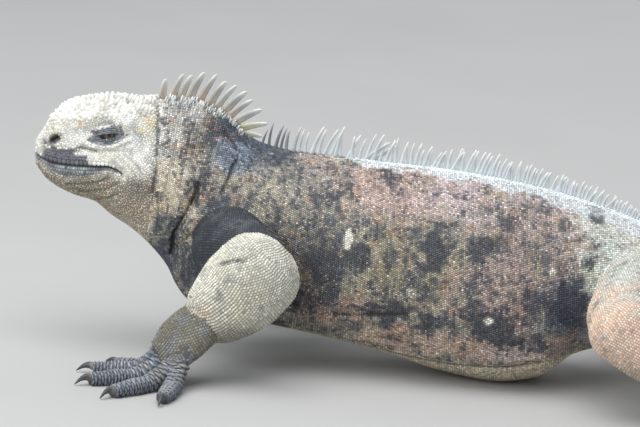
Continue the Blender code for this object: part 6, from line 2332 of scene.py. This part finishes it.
    def build_nape_cones(self) -> None:
        """Small pale pointed scales round the feet of the nape spines."""
        form, count = self.coat.form, self.cones
        rng = np.random.default_rng(SEED + 72)
        x = rng.uniform(*self.cone_span, count)
        places = np.array([form.place_of_top(value) for value in x])
        drop = rng.uniform(0.0, 1.0, count) ** 0.8
        sides = rng.choice((-1.0, 1.0), count)
        spread = self.cone_spread * (1 - 0.55 * ramp(x, -0.212, -0.196))
        angles = math.pi - sides * (0.03 + spread * drop)
        at, out, back = form.spots(places, angles)
        upward = np.array([0.25, 0.0, 1.0])
        size = rng.uniform(0.0017, 0.0028, count) * (1 - 0.25 * drop)
        pale = plain(Palette.CONE, count) * rng.uniform(0.75, 1.15, (count, 1))
        colours = blend(self.coat.marks.body(at, places), pale, 1 - 0.4 * drop)
        unwrap = laid_flat((x - x.min()) / np.ptp(x), angles)
        roots = Roots(at, unit(out + upward), back, size, size * 0.8, size * 1.3, colours, unwrap)
        self.coat.add("nape_cones", roots, Shapes.SPIKE, "neck_skin", SEED + 73, 0.1)


@dataclass
class Claws:
    """Curved, pointed claws, one at the end of each digit."""

    rings: int = 12
    sides: int = 10
    start: float = -0.0016
    narrow: float = 0.78

    def build(self, limbs: list[LimbForm], finish: bpy.types.Material) -> None:
        """Builds all twenty.

        Args:
            limbs: The limbs, laid out.
            finish: The claws' dark horn.
        """
        for limb in limbs:
            hand = limb.nodes[2]
            for number, claw in enumerate(limb.claws, start=1):
                mesh = self.mesh(f"{hand}_claw_{number}", claw)
                piece = add_piece(f"{hand}_claw_{number}", mesh, finish, "claw")
                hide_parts(f"claw_{hand}_{number}")

    def mesh(self, name: str, claw: ClawPlace) -> bpy.types.Mesh:
        """One claw, pale at its root."""
        forward = np.array(claw.forward)
        sideways = np.array([-forward[1], forward[0], 0.0])
        shares = np.linspace(0, 0.97, self.rings)
        centre = np.array(claw.base) + np.outer(self.start + (claw.length - self.start) * shares, forward)
        rise = claw.length * 0.16 * np.sin(math.pi * np.minimum(shares * 1.05, 1.0))
        centre[:, 2] += rise - claw.base.z * 0.78 * shares**2.2
        size = claw.size * 1.06 * (1 - shares) ** 0.62
        wide, tall = np.outer(size * self.narrow, sideways), np.outer(size, (0, 0, 1))
        tube = Tube(centre, wide, tall, FLOOR + 0.0002)
        mesh = mesh_from(name, tube.mesh(self.sides))
        points = vertex_rows(mesh)
        along = (points - np.array(claw.base)) @ forward / claw.length + 0.25 * noise(points, 0.0012, 63)
        paint(mesh, blend(plain(Palette.CLAW, len(points)), Palette.CLAW_PALE, 1 - ramp(along, 0.0, 0.35)))
        return mesh


def add_node(
    tree: bpy.types.NodeTree, kind: str, inputs: dict[str | int, object], **settings: object
) -> bpy.types.Node:
    """Adds a shader node.

    Args:
        tree: The material's or the group's nodes.
        kind: The node's kind, without its first word.
        inputs: For each input a value, or the output that feeds it.
        settings: The node's own options.

    Returns:
        The node.
    """
    node = tree.nodes.new(f"ShaderNode{kind}")
    for name, value in settings.items():
        setattr(node, name, value)
    wire(tree, node, inputs)
    return node


def wire(tree: bpy.types.NodeTree, node: bpy.types.Node, inputs: dict[str | int, object]) -> None:
    """Gives a node's inputs their values, or the outputs that feed them."""
    for name, value in inputs.items():
        if isinstance(value, bpy.types.NodeSocket):
            tree.links.new(value, node.inputs[name])
        else:
            node.inputs[name].default_value = value


@dataclass(frozen=True)
class ScaleFinish:
    """Dry horny skin: the painted tone with a fine mottle and relief."""

    name: str
    roughness: float
    relief: float
    mottle: float
    grain: float

    def build(self, mottle: bpy.types.NodeTree) -> bpy.types.Material:
        """Makes the material.

        Args:
            mottle: The shared group that breaks up a colour.

        Returns:
            The material.
        """
        made = bpy.data.materials.new(self.name)
        made.use_nodes = True
        tree = made.node_tree
        broken = add_node(tree, "Group", {}, node_tree=mottle)
        values = {"Grain": self.grain, "Amount": self.mottle, "Base Roughness": self.roughness}
        values["Place"] = add_node(tree, "TexCoord", {}).outputs["Object"]
        values["Tone"] = add_node(tree, "Attribute", {}, attribute_name=TONE).outputs["Color"]
        wire(tree, broken, values)
        bump = {"Strength": self.relief, "Distance": 0.0004, "Height": broken.outputs["Height"]}
        surface = {"Base Color": broken.outputs["Colour"], "Roughness": broken.outputs["Roughness"]}
        surface["Normal"] = add_node(tree, "Bump", bump).outputs["Normal"]
        surface["Specular IOR Level"] = 0.35
        wire(tree, tree.nodes["Principled BSDF"], surface)
        return made


def mottle_group() -> bpy.types.NodeTree:
    """The shared group that breaks a tone up with fine grain and soft stains.

    Returns:
        The node group, with a colour, a roughness and a height.
    """
    group = bpy.data.node_groups.new("dry_mottle", "ShaderNodeTree")
    face = group.interface
    face.new_socket("Place", in_out="INPUT", socket_type="NodeSocketVector")
    face.new_socket("Tone", in_out="INPUT", socket_type="NodeSocketColor")
    for name, value in (("Grain", 1500.0), ("Amount", 0.3), ("Base Roughness", 0.6)):
        face.new_socket(name, in_out="INPUT", socket_type="NodeSocketFloat").default_value = value
    for name, kind in (("Colour", "Color"), ("Roughness", "Float"), ("Height", "Float")):
        face.new_socket(name, in_out="OUTPUT", socket_type=f"NodeSocket{kind}")
    given = group.nodes.new("NodeGroupInput").outputs
    place = given["Place"]

    def sum_of(first: object, second: object, operation: str, third: object = 0.0) -> bpy.types.NodeSocket:
        """The result of this sum."""
        return add_node(group, "Math", {0: first, 1: second, 2: third}, operation=operation).outputs[0]

    fine, stain = (
        add_node(group, "TexNoise", {"Vector": place, "Scale": scale, "Detail": detail}).outputs["Fac"]
        for scale, detail in ((given["Grain"], 4.0), (90.0, 3.0))
    )
    centred = sum_of(sum_of(fine, stain, "ADD"), 1.0, "SUBTRACT")
    shade = sum_of(centred, given["Amount"], "MULTIPLY_ADD", 1.0)
    tinted = add_node(group, "VectorMath", {0: given["Tone"]}, operation="SCALE")
    wire(group, tinted, {"Scale": shade})
    rough = sum_of(centred, 0.25, "MULTIPLY_ADD", given["Base Roughness"])
    outer = group.nodes.new("NodeGroupOutput")
    wire(group, outer, {"Colour": tinted.outputs[0], "Roughness": rough, "Height": fine})
    return group


@dataclass
class Studio:
    """A plain pale floor, soft light and the camera at the photo's angle."""

    aim: tuple[float, float, float] = (-0.1263, 0.0, 0.1079)
    elevation: float = math.radians(12.0)
    roll: float = math.radians(5.0)
    distance: float = 4.0
    view_width: float = 0.4608
    sensor: float = 36.0
    floor_half: float = 6.0
    sky: Colour = (0.8, 0.84, 0.9)
    sky_strength: float = 0.55

    def build(self) -> None:
        """Adds the floor, the lights and the camera."""
        self.add_floor()
        self.add_light("sky_light", (-0.5, -0.5, 2.2), 2.2, 50.0)
        self.add_light("front_light", (-1.5, -2.2, 1.3), 1.6, 40.0)
        self.add_light("back_light", (0.9, 2.0, 1.4), 1.6, 12.0)
        world = bpy.data.worlds.new("soft_world")
        world.use_nodes = True
        tree = world.node_tree
        wire(tree, tree.nodes["Background"], {"Color": (*self.sky, 1.0), "Strength": self.sky_strength})
        bpy.context.scene.world = world
        self.add_camera()

    def add_floor(self) -> None:
        """A wide pale floor with a soft grain."""
        bm = bmesh.new()
        bmesh.ops.create_grid(bm, x_segments=8, y_segments=8, size=self.floor_half)
        mesh = mesh_from("floor", bm)
        made = bpy.data.materials.new("floor")
        made.use_nodes = True
        tree = made.node_tree
        place = add_node(tree, "TexCoord", {}).outputs["Object"]
        grain = add_node(tree, "TexNoise", {"Vector": place, "Scale": 6.0}).outputs["Fac"]
        tint = add_node(tree, "ValToRGB", {"Fac": grain})
        tint.color_ramp.elements[0].color = (0.44, 0.44, 0.43, 1.0)
        tint.color_ramp.elements[1].color = (0.48, 0.48, 0.47, 1.0)
        wire(tree, tree.nodes["Principled BSDF"], {"Base Color": tint.outputs["Color"], "Roughness": 0.8})
        mesh.materials.append(made)
        floor = bpy.data.objects.new("floor", mesh)
        bpy.context.scene.collection.objects.link(floor)

    def add_light(self, name: str, place: tuple[float, float, float], size: float, power: float) -> None:
        """A square soft light that faces the animal."""
        data = bpy.data.lights.new(name, "AREA")
        data.shape = "SQUARE"
        data.size = size
        data.energy = power
        lamp = bpy.data.objects.new(name, data)
        lamp.location = place
        facing = Vector(self.aim) - Vector(place)
        lamp.rotation_euler = facing.to_track_quat("-Z", "Y").to_euler()
        bpy.context.scene.collection.objects.link(lamp)

    def add_camera(self) -> None:
        """The camera of the photo's view."""
        data = bpy.data.cameras.new("photo_camera")
        data.sensor_width = self.sensor
        data.lens = self.sensor * self.distance / self.view_width
        data.clip_end = 30.0
        camera = bpy.data.objects.new("photo_camera", data)
        sine, cosine = math.sin(self.elevation), math.cos(self.elevation)
        right = Vector((math.cos(self.roll), math.sin(self.roll) * sine, math.sin(self.roll) * cosine))
        back = Vector((0.0, -cosine, sine))
        turned = Matrix((right, back.cross(right), back)).transposed().to_4x4()
        camera.matrix_world = Matrix.Translation(Vector(self.aim) + back * self.distance) @ turned
        bpy.context.scene.collection.objects.link(camera)
        bpy.context.scene.camera = camera


def main() -> None:
    """Builds the whole animal and the studio."""
    logging.basicConfig(level=logging.INFO, format="%(message)s")
    bpy.context.scene.view_settings.view_transform = "Standard"
    form = BodyForm(STATIONS)
    marks = Markings(form)
    limbs = []
    for limb, names, shift, turn in (
        (ARM, ("upper_arm", "forearm", "hand"), RIGHT_ARM_SHIFT, RIGHT_ARM_TURN),
        (LEG, ("thigh", "shank", "foot"), RIGHT_LEG_SHIFT, RIGHT_LEG_TURN),
    ):
        limbs.append(LimbForm(limb, Side.LEFT, names))
        limbs.append(LimbForm(limb.moved(shift, turn), Side.RIGHT, names))
    for limb in limbs:
        limb.build()
    mottle = mottle_group()
    skin_finish = ScaleFinish("skin_between_scales", 0.62, 0.3, 0.35, 900.0).build(mottle)
    scale_finish = ScaleFinish("scale_horn", 0.5, 0.25, 0.3, 2200.0).build(mottle)
    skin = Skin(form, limbs, marks)
    skin.build(skin_finish)
    coat = Coat(form, skin, marks, scale_finish)
    coat.dress_body()
    for number, limb in enumerate(limbs):
        coat.dress_limb(limb, SEED + 20 + number)
    view = SideView(form, skin)
    HeadCoat(coat, view).build()
    Eyes(coat, view).build(ScaleFinish("wet_eye", 0.08, 0.0, 0.1, 3000.0).build(mottle))
    Crest(coat, ScaleFinish("spine_horn", 0.42, 0.2, 0.22, 1600.0).build(mottle)).build()
    Claws().build(limbs, ScaleFinish("claw_horn", 0.34, 0.15, 0.25, 1200.0).build(mottle))
    Studio().build()


if __name__ == "__main__":
    main()
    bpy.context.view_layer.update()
